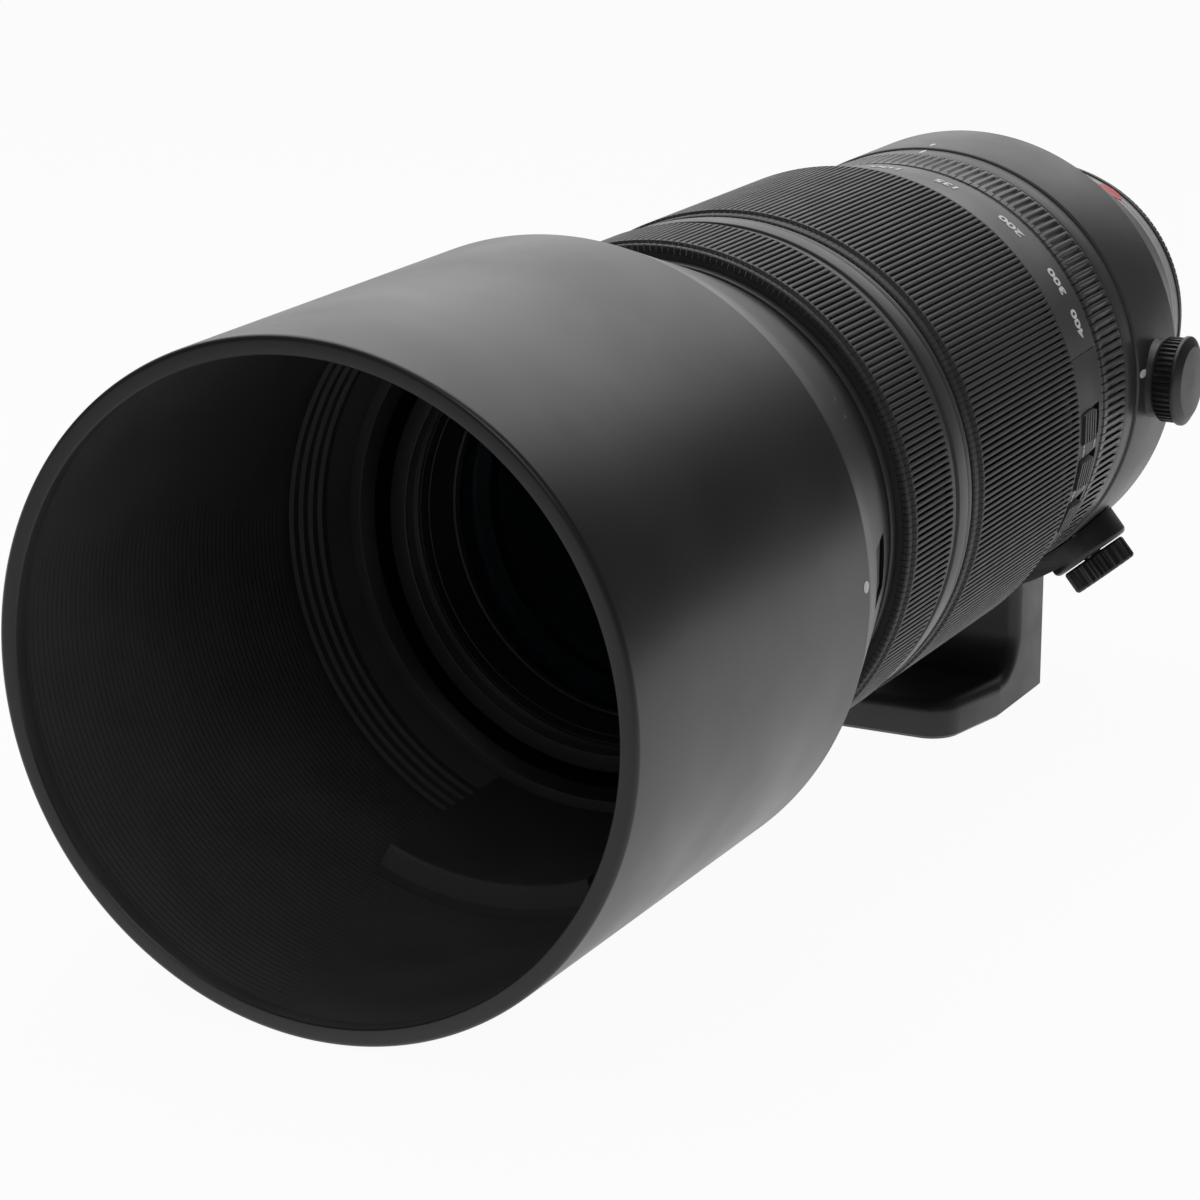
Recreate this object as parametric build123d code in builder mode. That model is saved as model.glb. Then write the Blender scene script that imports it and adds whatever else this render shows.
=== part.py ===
from build123d import *
from math import atan2, degrees, sqrt
import os

os.makedirs("parts", exist_ok=True)

# Frame: the optical axis is Y, the mount's face is the plane y = 0, the front of the lens points
# along -Y and the tripod foot along -Z. Clock angles turn from the top (+Z) towards +X.
# All lengths are millimetres.
full_turn = 360.0
half_turn = 180.0
quarter_turn = 90.0

# Clearances
running_gap = 0.3
seat_gap = 0.05
pin_gap = 0.05
face_gap = 0.25
overrun = 2.0

# Lengths along the axis, from the mount's face forwards
collar_rear_length = 40.5
collar_width = 23.1
rear_band_width = 6.4
aperture_ring_width = 14.5
number_band_width = 19.5
zoom_ring_width = 53.4
middle_band_width = 10.2
focus_ring_width = 19.8
front_ring_width = 2.1
nose_length = 21.0

collar_rear_y = -collar_rear_length
collar_front_y = collar_rear_y - collar_width
rear_band_front_y = collar_front_y - rear_band_width
aperture_front_y = rear_band_front_y - aperture_ring_width
number_front_y = aperture_front_y - number_band_width
zoom_front_y = number_front_y - zoom_ring_width
middle_front_y = zoom_front_y - middle_band_width
focus_front_y = middle_front_y - focus_ring_width
front_ring_front_y = focus_front_y - front_ring_width
rim_y = front_ring_front_y - nose_length

# Radii, from the inner tube out to the filter mouth and the nose
inner_tube_radius = 29.0
inner_tube_wall = 1.5
group_space = 8.6
filter_thread_height = 0.5
rim_wall = 3.2
nose_step = 0.6
nose_lug_height = 1.2
front_ring_height = 2.7
inner_tube_bore_radius = inner_tube_radius - inner_tube_wall
cell_radius = inner_tube_bore_radius - seat_gap
cell_seat_radius = inner_tube_radius + group_space
filter_bore_radius = cell_seat_radius + filter_thread_height
rim_radius = filter_bore_radius + rim_wall
nose_radius = rim_radius + nose_step
nose_lug_radius = nose_radius + nose_lug_height
front_ring_radius = nose_radius + front_ring_height

# Sleeves, from the moving front tube outwards
cell_seat_wall = 2.0
front_tube_wall = 1.2
guide_tube_wall = 1.3
cam_wall = 1.2
zoom_sleeve_wall = 1.4
grip_wall = 1.75
grip_lip_height = 0.5
middle_band_wall = 2.8
number_rear_wall = 2.2
number_front_wall = 2.0
aperture_wall = 1.7
aperture_rib_depth = 0.5
rear_band_wall = 1.8
collar_sink = 2.6
collar_wall = 3.0
rear_barrel_wall = 2.8
ring_edge = 0.4

front_tube_bore_radius = cell_seat_radius + cell_seat_wall
front_tube_radius = front_tube_bore_radius + front_tube_wall
guide_bore_radius = front_tube_radius + running_gap
guide_radius = guide_bore_radius + guide_tube_wall
cam_bore_radius = guide_radius + running_gap
cam_radius = cam_bore_radius + cam_wall
sleeve_bore_radius = cam_radius + running_gap
sleeve_radius = sleeve_bore_radius + zoom_sleeve_wall
grip_bore_radius = sleeve_radius + seat_gap
grip_radius = grip_bore_radius + grip_wall
band_radius = sleeve_bore_radius + middle_band_wall
number_rear_radius = guide_radius + number_rear_wall
number_front_radius = sleeve_bore_radius + number_front_wall
aperture_radius = cam_bore_radius + aperture_wall
rear_band_radius = guide_radius + rear_band_wall
collar_bore_radius = rear_band_radius - collar_sink
collar_radius = collar_bore_radius + collar_wall
collar_seat_radius = collar_bore_radius - running_gap
rear_barrel_bore_radius = collar_seat_radius - rear_barrel_wall

# Zoom motion: one turn of the ring drives two sets of followers along helical slots
zoom_turn = 64.0
zoom_over_travel = 6.1
second_travel_share = 0.336
second_follower_share = 0.674
follower_count = 3
roller_radius = 2.2
roller_pin_radius = 1.2
slot_gap = 0.3
slot_end_wall = 2.3
front_follower_clock = 30.0
second_follower_clock = 90.0
front_follower_setback = 8.5
front_tube_tail = 17.5
front_travel = zoom_ring_width + zoom_over_travel
second_travel = front_travel * second_travel_share
slot_half = roller_radius + slot_gap
front_follower_y = number_front_y + front_follower_setback
front_follower_far_y = front_follower_y - front_travel
second_follower_y = front_follower_y - zoom_ring_width * second_follower_share
second_follower_far_y = second_follower_y - second_travel
arm_slot_rear_y = second_follower_far_y + front_travel
arm_slot_y = (arm_slot_rear_y + second_follower_y) / 2
arm_slot_length = arm_slot_rear_y - second_follower_y
cam_rear_y = front_follower_y + slot_half + slot_end_wall
cam_front_y = front_follower_far_y - slot_half - slot_end_wall
front_tube_rear_y = front_follower_y + front_tube_tail

# Fixed barrel
seal_height = 1.3
seal_width = 2.0
seal_setback = 1.6
barrel_flange_width = 4.0
seal_radius = front_tube_radius + seal_height
barrel_flange_rear_y = collar_front_y - 2 * running_gap
barrel_flange_front_y = barrel_flange_rear_y - barrel_flange_width
barrel_front_y = focus_front_y + running_gap

# Mount
mount_face_y = 0.0
mount_ring_thickness = 1.5
mount_ring_radius = 31.8
mount_tube_radius = 21.8
mount_bore_radius = 20.3
mount_tube_length = 4.6
mount_lug_radius = 24.0
mount_lug_front = 2.6
mount_lug_width = 1.6
mount_lug_angle = 56.0
mount_lug_count = 3
mount_screw_edge = 3.8
mount_screw_count = 4
screw_head_radius = 1.6
screw_head_height = 0.9
screw_radius = 0.9
screw_length = 3.4
screw_slot = 0.4
screw_clock = 73.0
gasket_width = 1.0
gasket_height = 0.5
index_clock = 28.0
mount_screw_reach = mount_ring_radius - mount_screw_edge
screw_start = quarter_turn - screw_clock

# Rear casing, baffle, board and contacts
rear_cover_wall = 1.8
rear_cover_rim = 0.5
rear_cover_taper = 3.5
rear_cover_neck_length = 9.0
rear_cover_waist_length = 24.0
rear_flange_thickness = 3.2
rear_flange_bore_radius = 23.5
spigot_length = 4.0
inner_tube_rear_length = 24.0
board_thickness = 1.6
board_width = 3.6
baffle_thickness = 1.2
baffle_rear_length = 6.0
baffle_mouth_width = 26.0
baffle_mouth_height = 19.0
contact_block_angle = 56.0
contact_block_height = 3.4
contact_block_rear_length = 3.4
contact_count = 10
contact_radius = 0.5
contact_length = 1.2
contact_proud = 0.3
contact_pitch_angle = 5.0
contact_inset = 2.0
contact_clock = half_turn
rear_cover_mount_radius = mount_ring_radius + gasket_width + rear_cover_rim
rear_cover_collar_radius = collar_seat_radius - running_gap
rear_cover_waist_radius = rear_cover_collar_radius - rear_cover_taper
contact_reach = mount_bore_radius - contact_inset

# Tripod collar and lock knob
boss_radius = 7.9
boss_height = 1.4
stud_radius = 2.5
stud_length = 7.2
stud_travel = 0.8
knob_waist_radius = 6.7
knob_waist_length = 3.6
knob_flange_radius = 8.95
knob_flange_length = 2.3
knob_flute_count = 44
knob_flute_radius = 0.26
knob_edge = 0.9
rail_clock = 28.0
rail_radius = 1.2
rail_sink = 0.7
boss_y = collar_front_y + collar_width / 2
boss_reach = collar_radius + boss_height
rail_reach = collar_radius - rail_sink

# Tripod foot
foot_drop = 26.4
foot_plate_thickness = 8.0
foot_setback = 1.0
foot_length = 45.0
foot_waist_length = 24.5
foot_front_half_width = 14.5
foot_rear_half_width = 18.5
foot_corner_radius = 7.0
foot_edge = 1.5
foot_soft_edge = 2.6
foot_step = 0.7
neck_length = 15.5
neck_fillet = 8.0
neck_sink = 2.6
saddle_gap = 0.3
saddle_thickness = 3.6
foot_boss_radius = 8.6
foot_boss_height = 1.4
foot_boss_edge = 1.2
foot_knob_clock = 140.4
foot_knob_setback = 10.5
foot_knob_length = 4.8
foot_knob_radius = 7.1
foot_knob_flute_count = 21
foot_knob_flute_radius = 0.75
foot_stud_radius = 2.0
foot_stud_length = 8.0
foot_stud_sink = 1.0
foot_stud_travel = 1.5
keyway_gap = 0.4
insert_radius = 4.6
insert_bore_radius = 2.55
insert_length = 7.0
insert_setback = 22.5
foot_bottom_z = -collar_radius - foot_drop
foot_plate_top_z = foot_bottom_z + foot_plate_thickness
foot_rear_y = collar_rear_y - foot_setback
foot_front_y = foot_rear_y - foot_length
foot_waist_y = foot_rear_y - foot_waist_length
foot_knob_y = collar_rear_y - foot_knob_setback
insert_y = foot_rear_y - insert_setback
neck_front_y = foot_rear_y - neck_length
neck_top_z = neck_sink - collar_radius
saddle_bore_radius = collar_radius + saddle_gap
saddle_radius = saddle_bore_radius + saddle_thickness
saddle_front_y = foot_knob_y - foot_boss_radius + ring_edge
foot_knob_seat_radius = saddle_radius + foot_boss_height

# Nose, filter thread and front glass
rim_taper_length = 4.5
filter_thread_length = 3.6
cell_seat_length = 34.0
nose_lug_setback = 10.0
nose_lug_width = 2.4
lug_angle = 40.0
lug_count = 3
retaining_ring_mouth = 0.5
retaining_ring_cone = 2.2
retaining_ring_step = 0.5
retaining_ring_cone_length = 6.0
retaining_ring_step_length = 1.6
front_cell_wall = 1.6
front_cell_shoulder_height = 3.0
front_cell_shoulder_width = 2.0
front_cell_length = 22.0
front_lens_edge = 5.0
front_lens_front_sag = 4.6
front_lens_rear_sag = -1.0
doublet_step = 1.0
doublet_edge = 8.0
doublet_front_sag = 1.2
doublet_rear_sag = -2.2
nose_lug_y = front_ring_front_y - nose_lug_setback
retaining_ring_mouth_radius = cell_seat_radius - retaining_ring_mouth
retaining_ring_step_radius = retaining_ring_mouth_radius - retaining_ring_cone
retaining_ring_bore_radius = retaining_ring_step_radius - retaining_ring_step
front_lens_radius = cell_seat_radius - front_cell_wall
front_cell_shoulder_radius = front_lens_radius - front_cell_shoulder_height
doublet_radius = front_lens_radius - doublet_step

# Second group and focus group
inner_tube_front_setback = 18.0
inner_tube_mouth_width = 2.0
inner_tube_mouth_height = 4.9
second_cell_width = 10.0
second_cell_step = 1.4
second_lens_sag = -2.6
second_lens_edge = 6.0
rod_radius = 1.0
rod_inset = 2.9
rod_clock = 45.0
rod_socket_depth = 2.0
focus_lens_inset_radius = 5.6
focus_lens_edge = 5.0
focus_lens_front_sag = 2.0
focus_lens_rear_sag = -1.2
focus_carriage_wall = 2.6
focus_carriage_width = 8.5
focus_carriage_setback = 14.5
focus_bush_radius = 2.3
magnet_clock = 135.0
magnet_angle = 34.0
magnet_wall = 2.5
magnet_gap = 0.6
coil_angle = 28.0
inner_tube_mouth_radius = inner_tube_bore_radius - inner_tube_mouth_height
second_cell_bore_radius = inner_tube_mouth_radius + second_cell_step
rod_reach = inner_tube_bore_radius - rod_inset
focus_lens_radius = rod_reach - focus_lens_inset_radius
magnet_bore_radius = inner_tube_bore_radius - magnet_wall
coil_radius = magnet_bore_radius - magnet_gap

# Iris, stabiliser and rear glass
iris_front_setback = 28.0
iris_width = 8.0
iris_chamber_wall = 1.5
iris_chamber_width = 3.2
iris_plate_height = 10.5
blade_count = 9
blade_thickness = 0.15
blade_pitch = 0.32
blade_proud = 0.5
blade_setback = 3.5
blade_angle = 78.0
stabiliser_base_setback = 47.0
stabiliser_base_width = 3.0
frame_shift_space = 2.1
frame_width = 3.4
frame_rail_width = 1.6
frame_rail_height = 1.0
frame_rail_setback = 6.4
frame_rail_half_length = 9.0
frame_rail_gap = 0.15
stabiliser_lens_step = 1.5
stabiliser_lens_sag = 1.4
rear_cell_width = 34.0
rear_cell_wall = 9.5
rear_lens_edge = 6.0
rear_lens_sag = 2.0
rear_lens_gap = 6.0
iris_chamber_radius = inner_tube_bore_radius - iris_chamber_wall
iris_bore_radius = iris_chamber_radius - iris_plate_height
blade_inner_radius = iris_bore_radius + blade_proud
blade_outer_radius = iris_chamber_radius - blade_setback
stabiliser_bore_radius = iris_bore_radius - blade_proud
frame_radius = inner_tube_bore_radius - frame_shift_space
frame_rail_offset = frame_radius - frame_rail_setback
stabiliser_lens_radius = stabiliser_bore_radius - stabiliser_lens_step
rear_cell_bore_radius = inner_tube_bore_radius - rear_cell_wall

# Hood
hood_setback = 0.8
hood_rear_wall = 0.7
hood_taper_rise = 10.6
hood_wall = 1.5
hood_taper_length = 33.3
hood_straight_length = 84.4
hood_annulus_length = 23.2
hood_annulus_step = 1.9
hood_annulus_depth = 4.8
hood_band_start_length = 26.6
hood_lip_height = 3.1
hood_lip_length = 2.6
hood_lip_slope = 1.6
hood_mouth_edge = 0.9
hood_lug_width = 2.2
hood_rear_bore_radius = nose_lug_radius + 2 * running_gap
hood_lug_bore_radius = nose_radius + ring_edge
hood_rear_radius = hood_rear_bore_radius + hood_rear_wall
hood_radius = hood_rear_radius + hood_taper_rise
hood_bore_radius = hood_radius - hood_wall
hood_lip_radius = hood_radius - hood_lip_height
hood_annulus_bore_radius = hood_rear_bore_radius + hood_annulus_step
hood_annulus_radius = hood_radius - hood_annulus_depth
hood_rear_y = front_ring_front_y - hood_setback
hood_taper_y = hood_rear_y - hood_taper_length
hood_mouth_y = hood_taper_y - hood_straight_length
hood_annulus_y = hood_rear_y - hood_annulus_length
hood_band_y = hood_rear_y - hood_band_start_length
hood_slope = hood_taper_rise / hood_taper_length

# Hood's window and its sliding cover
window_half_angle = 15.0
window_length = 10.6
window_cover_inset = 4.3
window_cover_thickness = 1.4
window_cover_length = 15.2
window_cover_half_angle = 20.0
window_grip_height = 0.7
window_grip_width = 0.8
window_grip_count = 4
pocket_half_angle = 22.5
pocket_skin = 1.2
pocket_front_length = 62.7
window_cover_bore_radius = hood_bore_radius - window_cover_inset

# Hood's button and its spring
button_clock = 90.0
button_setback = 15.2
button_length = 12.0
button_width = 9.0
button_travel = 1.0
button_seat_wall = 0.9
button_sink = 0.5
button_arc = 20.0
leaf_half_length = 1.2
leaf_width = 1.6
leaf_height = 1.6
leaf_thickness = 0.35
leaf_crown = 0.3
leaf_pocket_radius = 1.9
button_y = hood_rear_y - button_setback
button_seat_radius = hood_rear_bore_radius + button_seat_wall

# Switches on the number band
panel_clock = 97.0
panel_angle = 48.0
panel_floor = 0.55
panel_proud = 0.25
panel_length = 16.0
switch_first_clock = 90.0
switch_pitch_angle = 11.5
switch_slot_length = 12.0
switch_slot_width = 6.2
switch_length = 6.5
switch_width = 5.6
switch_gap = 0.3
switch_proud = 1.1
switch_ridge_count = 4
switch_ridge_width = 0.7
switch_ridge_depth = 0.45

# Rear cap
cap_step = 0.8
cap_rim = 5.4
cap_length = 11.0
cap_rim_length = 2.8
cap_back_step = 3.6
cap_floor = 2.0
cap_lug_gap = 0.6
cap_lug_width = 1.2
cap_lug_front = 1.0
cap_gap = 0.35
cap_edge = 1.0
cap_radius = mount_ring_radius - cap_step
cap_bore_radius = cap_radius - cap_rim
cap_lug_bore_radius = mount_tube_radius + cap_lug_gap


def clock(angle, y, radius):
    """Frame at a clock angle: its z points out from the axis and its y along the axis."""
    return Location((0, 0, 0), (0, angle, 0)) * Location((0, y, radius))


def section_at(angle):
    """Half plane at a clock angle: its x is the radius and its y lies along the axis."""
    return Plane.XY.rotated((0, angle - quarter_turn, 0))


def wall(inner, outer, rear, front):
    """Corners of a plain tube's section."""
    return [(inner, rear), (outer, rear), (outer, front), (inner, front)]


def dome(radius, sag, at):
    """Height of a lens surface over its edge, at a radius."""
    if sag == 0:
        return 0
    curve = (radius**2 + sag**2) / (2 * abs(sag))
    return (sqrt(curve**2 - at**2) - curve + abs(sag)) * sag / abs(sag)


def lens_points(radius, front, rear, front_sag, rear_sag):
    """Points of a lens section: centre, middle and edge of each of its two surfaces."""
    half = radius / 2
    return (
        (0, front - front_sag),
        (half, front - dome(radius, front_sag, half)),
        (radius, front),
        (radius, rear),
        (half, rear + dome(radius, rear_sag, half)),
        (0, rear + rear_sag),
    )


def spread(count, first=0.0):
    """Clock angles of evenly spaced copies."""
    return [first + full_turn * i / count for i in range(count)]


def face_at(y):
    """Cross plane at a place on the axis: it is extruded forwards."""
    return Plane.XZ.offset(-y)


seal_front_y = barrel_front_y + seal_setback
seal_rear_y = seal_front_y + seal_width


# Main barrel: the fixed guide tube that every ring turns on
barrel_step_y = cam_front_y - running_gap
with BuildPart() as main_barrel:
    with BuildSketch():
        with BuildLine():
            Polyline(
                (guide_bore_radius, barrel_front_y),
                (cam_radius, barrel_front_y),
                (cam_radius, barrel_step_y),
                (guide_radius, barrel_step_y),
                (guide_radius, barrel_flange_rear_y),
                (inner_tube_radius + seat_gap, barrel_flange_rear_y),
                (inner_tube_radius + seat_gap, barrel_flange_front_y),
                (guide_bore_radius, barrel_flange_front_y),
                close=True,
            )
        make_face()
    revolve(axis=Axis.Y)
    with BuildSketch():
        with BuildLine():
            Polyline(
                *wall(
                    guide_bore_radius - seat_gap,
                    seal_radius + seat_gap,
                    seal_rear_y + seat_gap,
                    seal_front_y - seat_gap,
                ),
                close=True,
            )
        make_face()
    revolve(axis=Axis.Y, mode=Mode.SUBTRACT)
    for first, rear, far in (
        (front_follower_clock, front_follower_y, front_follower_far_y),
        (second_follower_clock, second_follower_y, second_follower_far_y),
    ):
        for angle in spread(follower_count, first):
            with BuildSketch(Plane(clock(angle, (rear + far) / 2, front_tube_bore_radius))):
                SlotCenterToCenter(rear - far, 2 * slot_half, rotation=90)
            extrude(amount=guide_radius, mode=Mode.SUBTRACT)
main_barrel.part.label = "main_barrel"
export_step(main_barrel.part, "parts/main_barrel.step")

# Cam barrel: two sets of helical slots, cut by a block swept along a helix with round ends
cam_middle_radius = (cam_bore_radius + cam_radius) / 2
with BuildPart() as cam_barrel:
    with BuildSketch():
        with BuildLine():
            Polyline(*wall(cam_bore_radius, cam_radius, cam_rear_y, cam_front_y), close=True)
        make_face()
    revolve(axis=Axis.Y)
    for first, rear, travel in (
        (front_follower_clock, front_follower_y, front_travel),
        (second_follower_clock, second_follower_y, second_travel),
    ):
        with BuildLine(mode=Mode.PRIVATE) as rise:
            Helix(
                pitch=travel * full_turn / zoom_turn,
                height=travel,
                radius=cam_middle_radius,
                center=(0, rear, 0),
                direction=(0, -1, 0),
            )
        start = rise.line @ 0
        start_clock = degrees(atan2(start.X, start.Z))
        for angle in spread(follower_count, first):
            path = rise.line.rotate(Axis.Y, angle - start_clock)
            radial = (path @ 0) - Vector(0, rear, 0)
            with BuildSketch(Plane(origin=path @ 0, x_dir=radial, z_dir=path % 0)):
                Rectangle(2 * cam_wall, 2 * slot_half)
            sweep(path=path, is_frenet=True, mode=Mode.SUBTRACT)
            for end_angle, end_y in ((angle, rear), (angle - zoom_turn, rear - travel)):
                with BuildSketch(Plane(clock(end_angle, end_y, guide_radius))):
                    Circle(slot_half)
                extrude(amount=2 * cam_wall, mode=Mode.SUBTRACT)
cam_barrel.part.label = "cam_barrel"
export_step(cam_barrel.part, "parts/cam_barrel.step")

# Middle band: the fixed band between the two grips, with a bead at each side
bead_height = 0.3
bead_width = 2.4
bead_slot = 0.7
bead_base_radius = band_radius - bead_slot
with BuildPart() as middle_band:
    with BuildSketch():
        with BuildLine():
            Polyline(
                (cam_radius + seat_gap, middle_front_y + face_gap),
                (bead_base_radius, middle_front_y + face_gap),
                (band_radius - bead_height, middle_front_y + face_gap + bead_slot),
                (band_radius - bead_height, middle_front_y + bead_width),
                (bead_base_radius, middle_front_y + bead_width + bead_slot),
                (band_radius, middle_front_y + bead_width + 2 * bead_slot),
                (band_radius, zoom_front_y - bead_width - 2 * bead_slot),
                (bead_base_radius, zoom_front_y - bead_width - bead_slot),
                (band_radius - bead_height, zoom_front_y - bead_width),
                (band_radius - bead_height, zoom_front_y - face_gap - bead_slot),
                (bead_base_radius, zoom_front_y - face_gap),
                (sleeve_bore_radius, zoom_front_y - face_gap),
                (sleeve_bore_radius, barrel_step_y),
                (cam_radius + seat_gap, barrel_step_y),
                close=True,
            )
        make_face()
    revolve(axis=Axis.Y)
middle_band.part.label = "middle_band"
export_step(middle_band.part, "parts/middle_band.step")

# Zoom ring: the sleeve under the grip, with an inner key ring that drives the cam barrel
key_width = 3.0
key_height = 0.25
key_front_y = zoom_front_y + key_width
lip_width = 2.6
zoom_lip_radius = grip_radius - grip_lip_height
with BuildPart() as zoom_ring:
    with BuildSketch():
        with BuildLine():
            Polyline(
                (sleeve_bore_radius, number_front_y - face_gap),
                (sleeve_radius, number_front_y - face_gap),
                (sleeve_radius, zoom_front_y + face_gap),
                (cam_radius + key_height, zoom_front_y + face_gap),
                (cam_radius + key_height - seat_gap * 4, key_front_y),
                (sleeve_bore_radius, key_front_y),
                close=True,
            )
        make_face()
    revolve(axis=Axis.Y)
zoom_ring.part.label = "zoom_ring"
export_step(zoom_ring.part, "parts/zoom_ring.step")

# Zoom grip: a rubber sleeve with a lip at its front
with BuildPart() as zoom_grip:
    with BuildSketch():
        with BuildLine():
            Polyline(
                (grip_bore_radius, number_front_y - face_gap),
                (grip_radius - grip_lip_height, number_front_y - face_gap),
                (grip_radius, number_front_y - face_gap - grip_lip_height),
                (grip_radius, zoom_front_y + lip_width + grip_lip_height),
                (zoom_lip_radius - grip_lip_height, zoom_front_y + lip_width),
                (zoom_lip_radius, zoom_front_y + lip_width - grip_lip_height),
                (zoom_lip_radius, zoom_front_y + face_gap + grip_lip_height),
                (zoom_lip_radius - grip_lip_height, zoom_front_y + face_gap),
                (grip_bore_radius, zoom_front_y + face_gap),
                close=True,
            )
        make_face()
    revolve(axis=Axis.Y)
zoom_grip.part.label = "zoom_grip"
export_step(zoom_grip.part, "parts/zoom_grip.step")

# Focus ring: a sleeve on the barrel's front, its rubber grip and the comb its sensor reads
with BuildPart() as focus_ring:
    with BuildSketch():
        with BuildLine():
            Polyline(
                *wall(
                    sleeve_bore_radius,
                    sleeve_radius,
                    middle_front_y - face_gap,
                    focus_front_y + face_gap,
                ),
                close=True,
            )
        make_face()
    revolve(axis=Axis.Y)
focus_ring.part.label = "focus_ring"
export_step(focus_ring.part, "parts/focus_ring.step")

focus_lip_width = 1.6
with BuildPart() as focus_grip:
    with BuildSketch():
        with BuildLine():
            Polyline(
                (grip_bore_radius, middle_front_y - face_gap),
                (grip_radius - grip_lip_height, middle_front_y - face_gap),
                (grip_radius, middle_front_y - face_gap - grip_lip_height),
                (grip_radius, focus_front_y + focus_lip_width + grip_lip_height),
                (zoom_lip_radius - grip_lip_height, focus_front_y + focus_lip_width),
                (zoom_lip_radius, focus_front_y + focus_lip_width - grip_lip_height),
                (zoom_lip_radius, focus_front_y + face_gap + grip_lip_height),
                (zoom_lip_radius - grip_lip_height, focus_front_y + face_gap),
                (grip_bore_radius, focus_front_y + face_gap),
                close=True,
            )
        make_face()
    revolve(axis=Axis.Y)
focus_grip.part.label = "focus_grip"
export_step(focus_grip.part, "parts/focus_grip.step")

# Number band: the fixed band that carries the numbers and the switches, on a flange at its rear
number_band_front_y = number_front_y + face_gap
number_band_rear_y = aperture_front_y - face_gap
number_flange_front_y = cam_rear_y + running_gap
panel_floor_radius = sleeve_bore_radius + panel_floor
panel_edge_angle = degrees(seat_gap / number_rear_radius)
panel_front_y = number_band_front_y + (number_band_width - panel_length) / 2
panel_rear_y = panel_front_y + panel_length
switch_y = (panel_front_y + panel_rear_y) / 2
with BuildPart() as number_band:
    with BuildSketch():
        with BuildLine():
            Polyline(
                (guide_radius + seat_gap, number_band_rear_y),
                (number_rear_radius, number_band_rear_y),
                (number_front_radius, number_band_front_y),
                (sleeve_bore_radius, number_band_front_y),
                (sleeve_bore_radius, number_flange_front_y),
                (guide_radius + seat_gap, number_flange_front_y),
                close=True,
            )
        make_face()
    revolve(axis=Axis.Y)
    with BuildSketch(section_at(panel_clock - panel_angle / 2 - panel_edge_angle)):
        with BuildLine():
            Polyline(
                *wall(
                    panel_floor_radius,
                    number_front_radius + overrun,
                    panel_rear_y + seat_gap,
                    panel_front_y - seat_gap,
                ),
                close=True,
            )
        make_face()
    revolve(
        axis=Axis.Y,
        revolution_arc=panel_angle + 2 * panel_edge_angle,
        mode=Mode.SUBTRACT,
    )
number_band.part.label = "number_band"
export_step(number_band.part, "parts/number_band.step")

# Switch panel: a curved plate let into the number band, with a window for each slider
panel_slope = (number_front_radius - number_rear_radius) / (number_band_rear_y - number_band_front_y)
panel_rear_radius = number_rear_radius + panel_slope * (number_band_rear_y - panel_rear_y) + panel_proud
panel_front_radius = number_rear_radius + panel_slope * (number_band_rear_y - panel_front_y) + panel_proud
switch_travel = switch_slot_length - switch_length - 2 * switch_gap
switch_rest_y = switch_y - switch_travel / 2
with BuildPart() as switch_panel:
    with BuildSketch(section_at(panel_clock - panel_angle / 2)):
        with BuildLine():
            Polyline(
                (panel_floor_radius + seat_gap, panel_rear_y),
                (panel_rear_radius, panel_rear_y),
                (panel_front_radius, panel_front_y),
                (panel_floor_radius + seat_gap, panel_front_y),
                close=True,
            )
        make_face()
    revolve(axis=Axis.Y, revolution_arc=panel_angle)
    for i in range(3):
        angle = switch_first_clock + i * switch_pitch_angle
        with BuildSketch(Plane(clock(angle, switch_y, guide_radius))):
            RectangleRounded(switch_slot_width, switch_slot_length, switch_gap)
        extrude(amount=cam_radius, mode=Mode.SUBTRACT)
switch_panel.part.label = "switch_panel"
export_step(switch_panel.part, "parts/switch_panel.step")

# Switch sliders: a block with cross ridges that rides on the band's floor
switch_foot_radius = panel_floor_radius + seat_gap
switch_top_radius = (panel_rear_radius + panel_front_radius) / 2 + switch_proud
for i, switch_name in enumerate(("focus_range_switch", "stabiliser_switch", "aperture_switch")):
    angle = switch_first_clock + i * switch_pitch_angle
    with BuildPart() as switch:
        with BuildSketch(Plane(clock(angle, switch_rest_y, switch_foot_radius))):
            RectangleRounded(switch_width, switch_length, switch_gap)
        extrude(amount=switch_top_radius - switch_foot_radius)
        with BuildSketch(Plane(clock(angle, switch_rest_y, switch_top_radius - switch_ridge_depth))):
            with GridLocations(0, switch_length / switch_ridge_count, 1, switch_ridge_count):
                Rectangle(switch_width + 2 * switch_gap, switch_ridge_width)
        extrude(amount=switch_proud, mode=Mode.SUBTRACT)
    switch.part.label = switch_name
    export_step(switch.part, f"parts/{switch_name}.step")

# Aperture ring: a narrow ribbed ring between the number band and the rear band
with BuildPart() as aperture_ring:
    with BuildSketch():
        with BuildLine():
            Polyline(
                (cam_bore_radius, rear_band_front_y - face_gap),
                (aperture_radius - aperture_rib_depth, rear_band_front_y - face_gap),
                (aperture_radius, rear_band_front_y - face_gap - aperture_rib_depth),
                (aperture_radius, aperture_front_y + face_gap + aperture_rib_depth),
                (aperture_radius - aperture_rib_depth, aperture_front_y + face_gap),
                (cam_bore_radius, aperture_front_y + face_gap),
                close=True,
            )
        make_face()
    revolve(axis=Axis.Y)
aperture_ring.part.label = "aperture_ring"
export_step(aperture_ring.part, "parts/aperture_ring.step")

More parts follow.
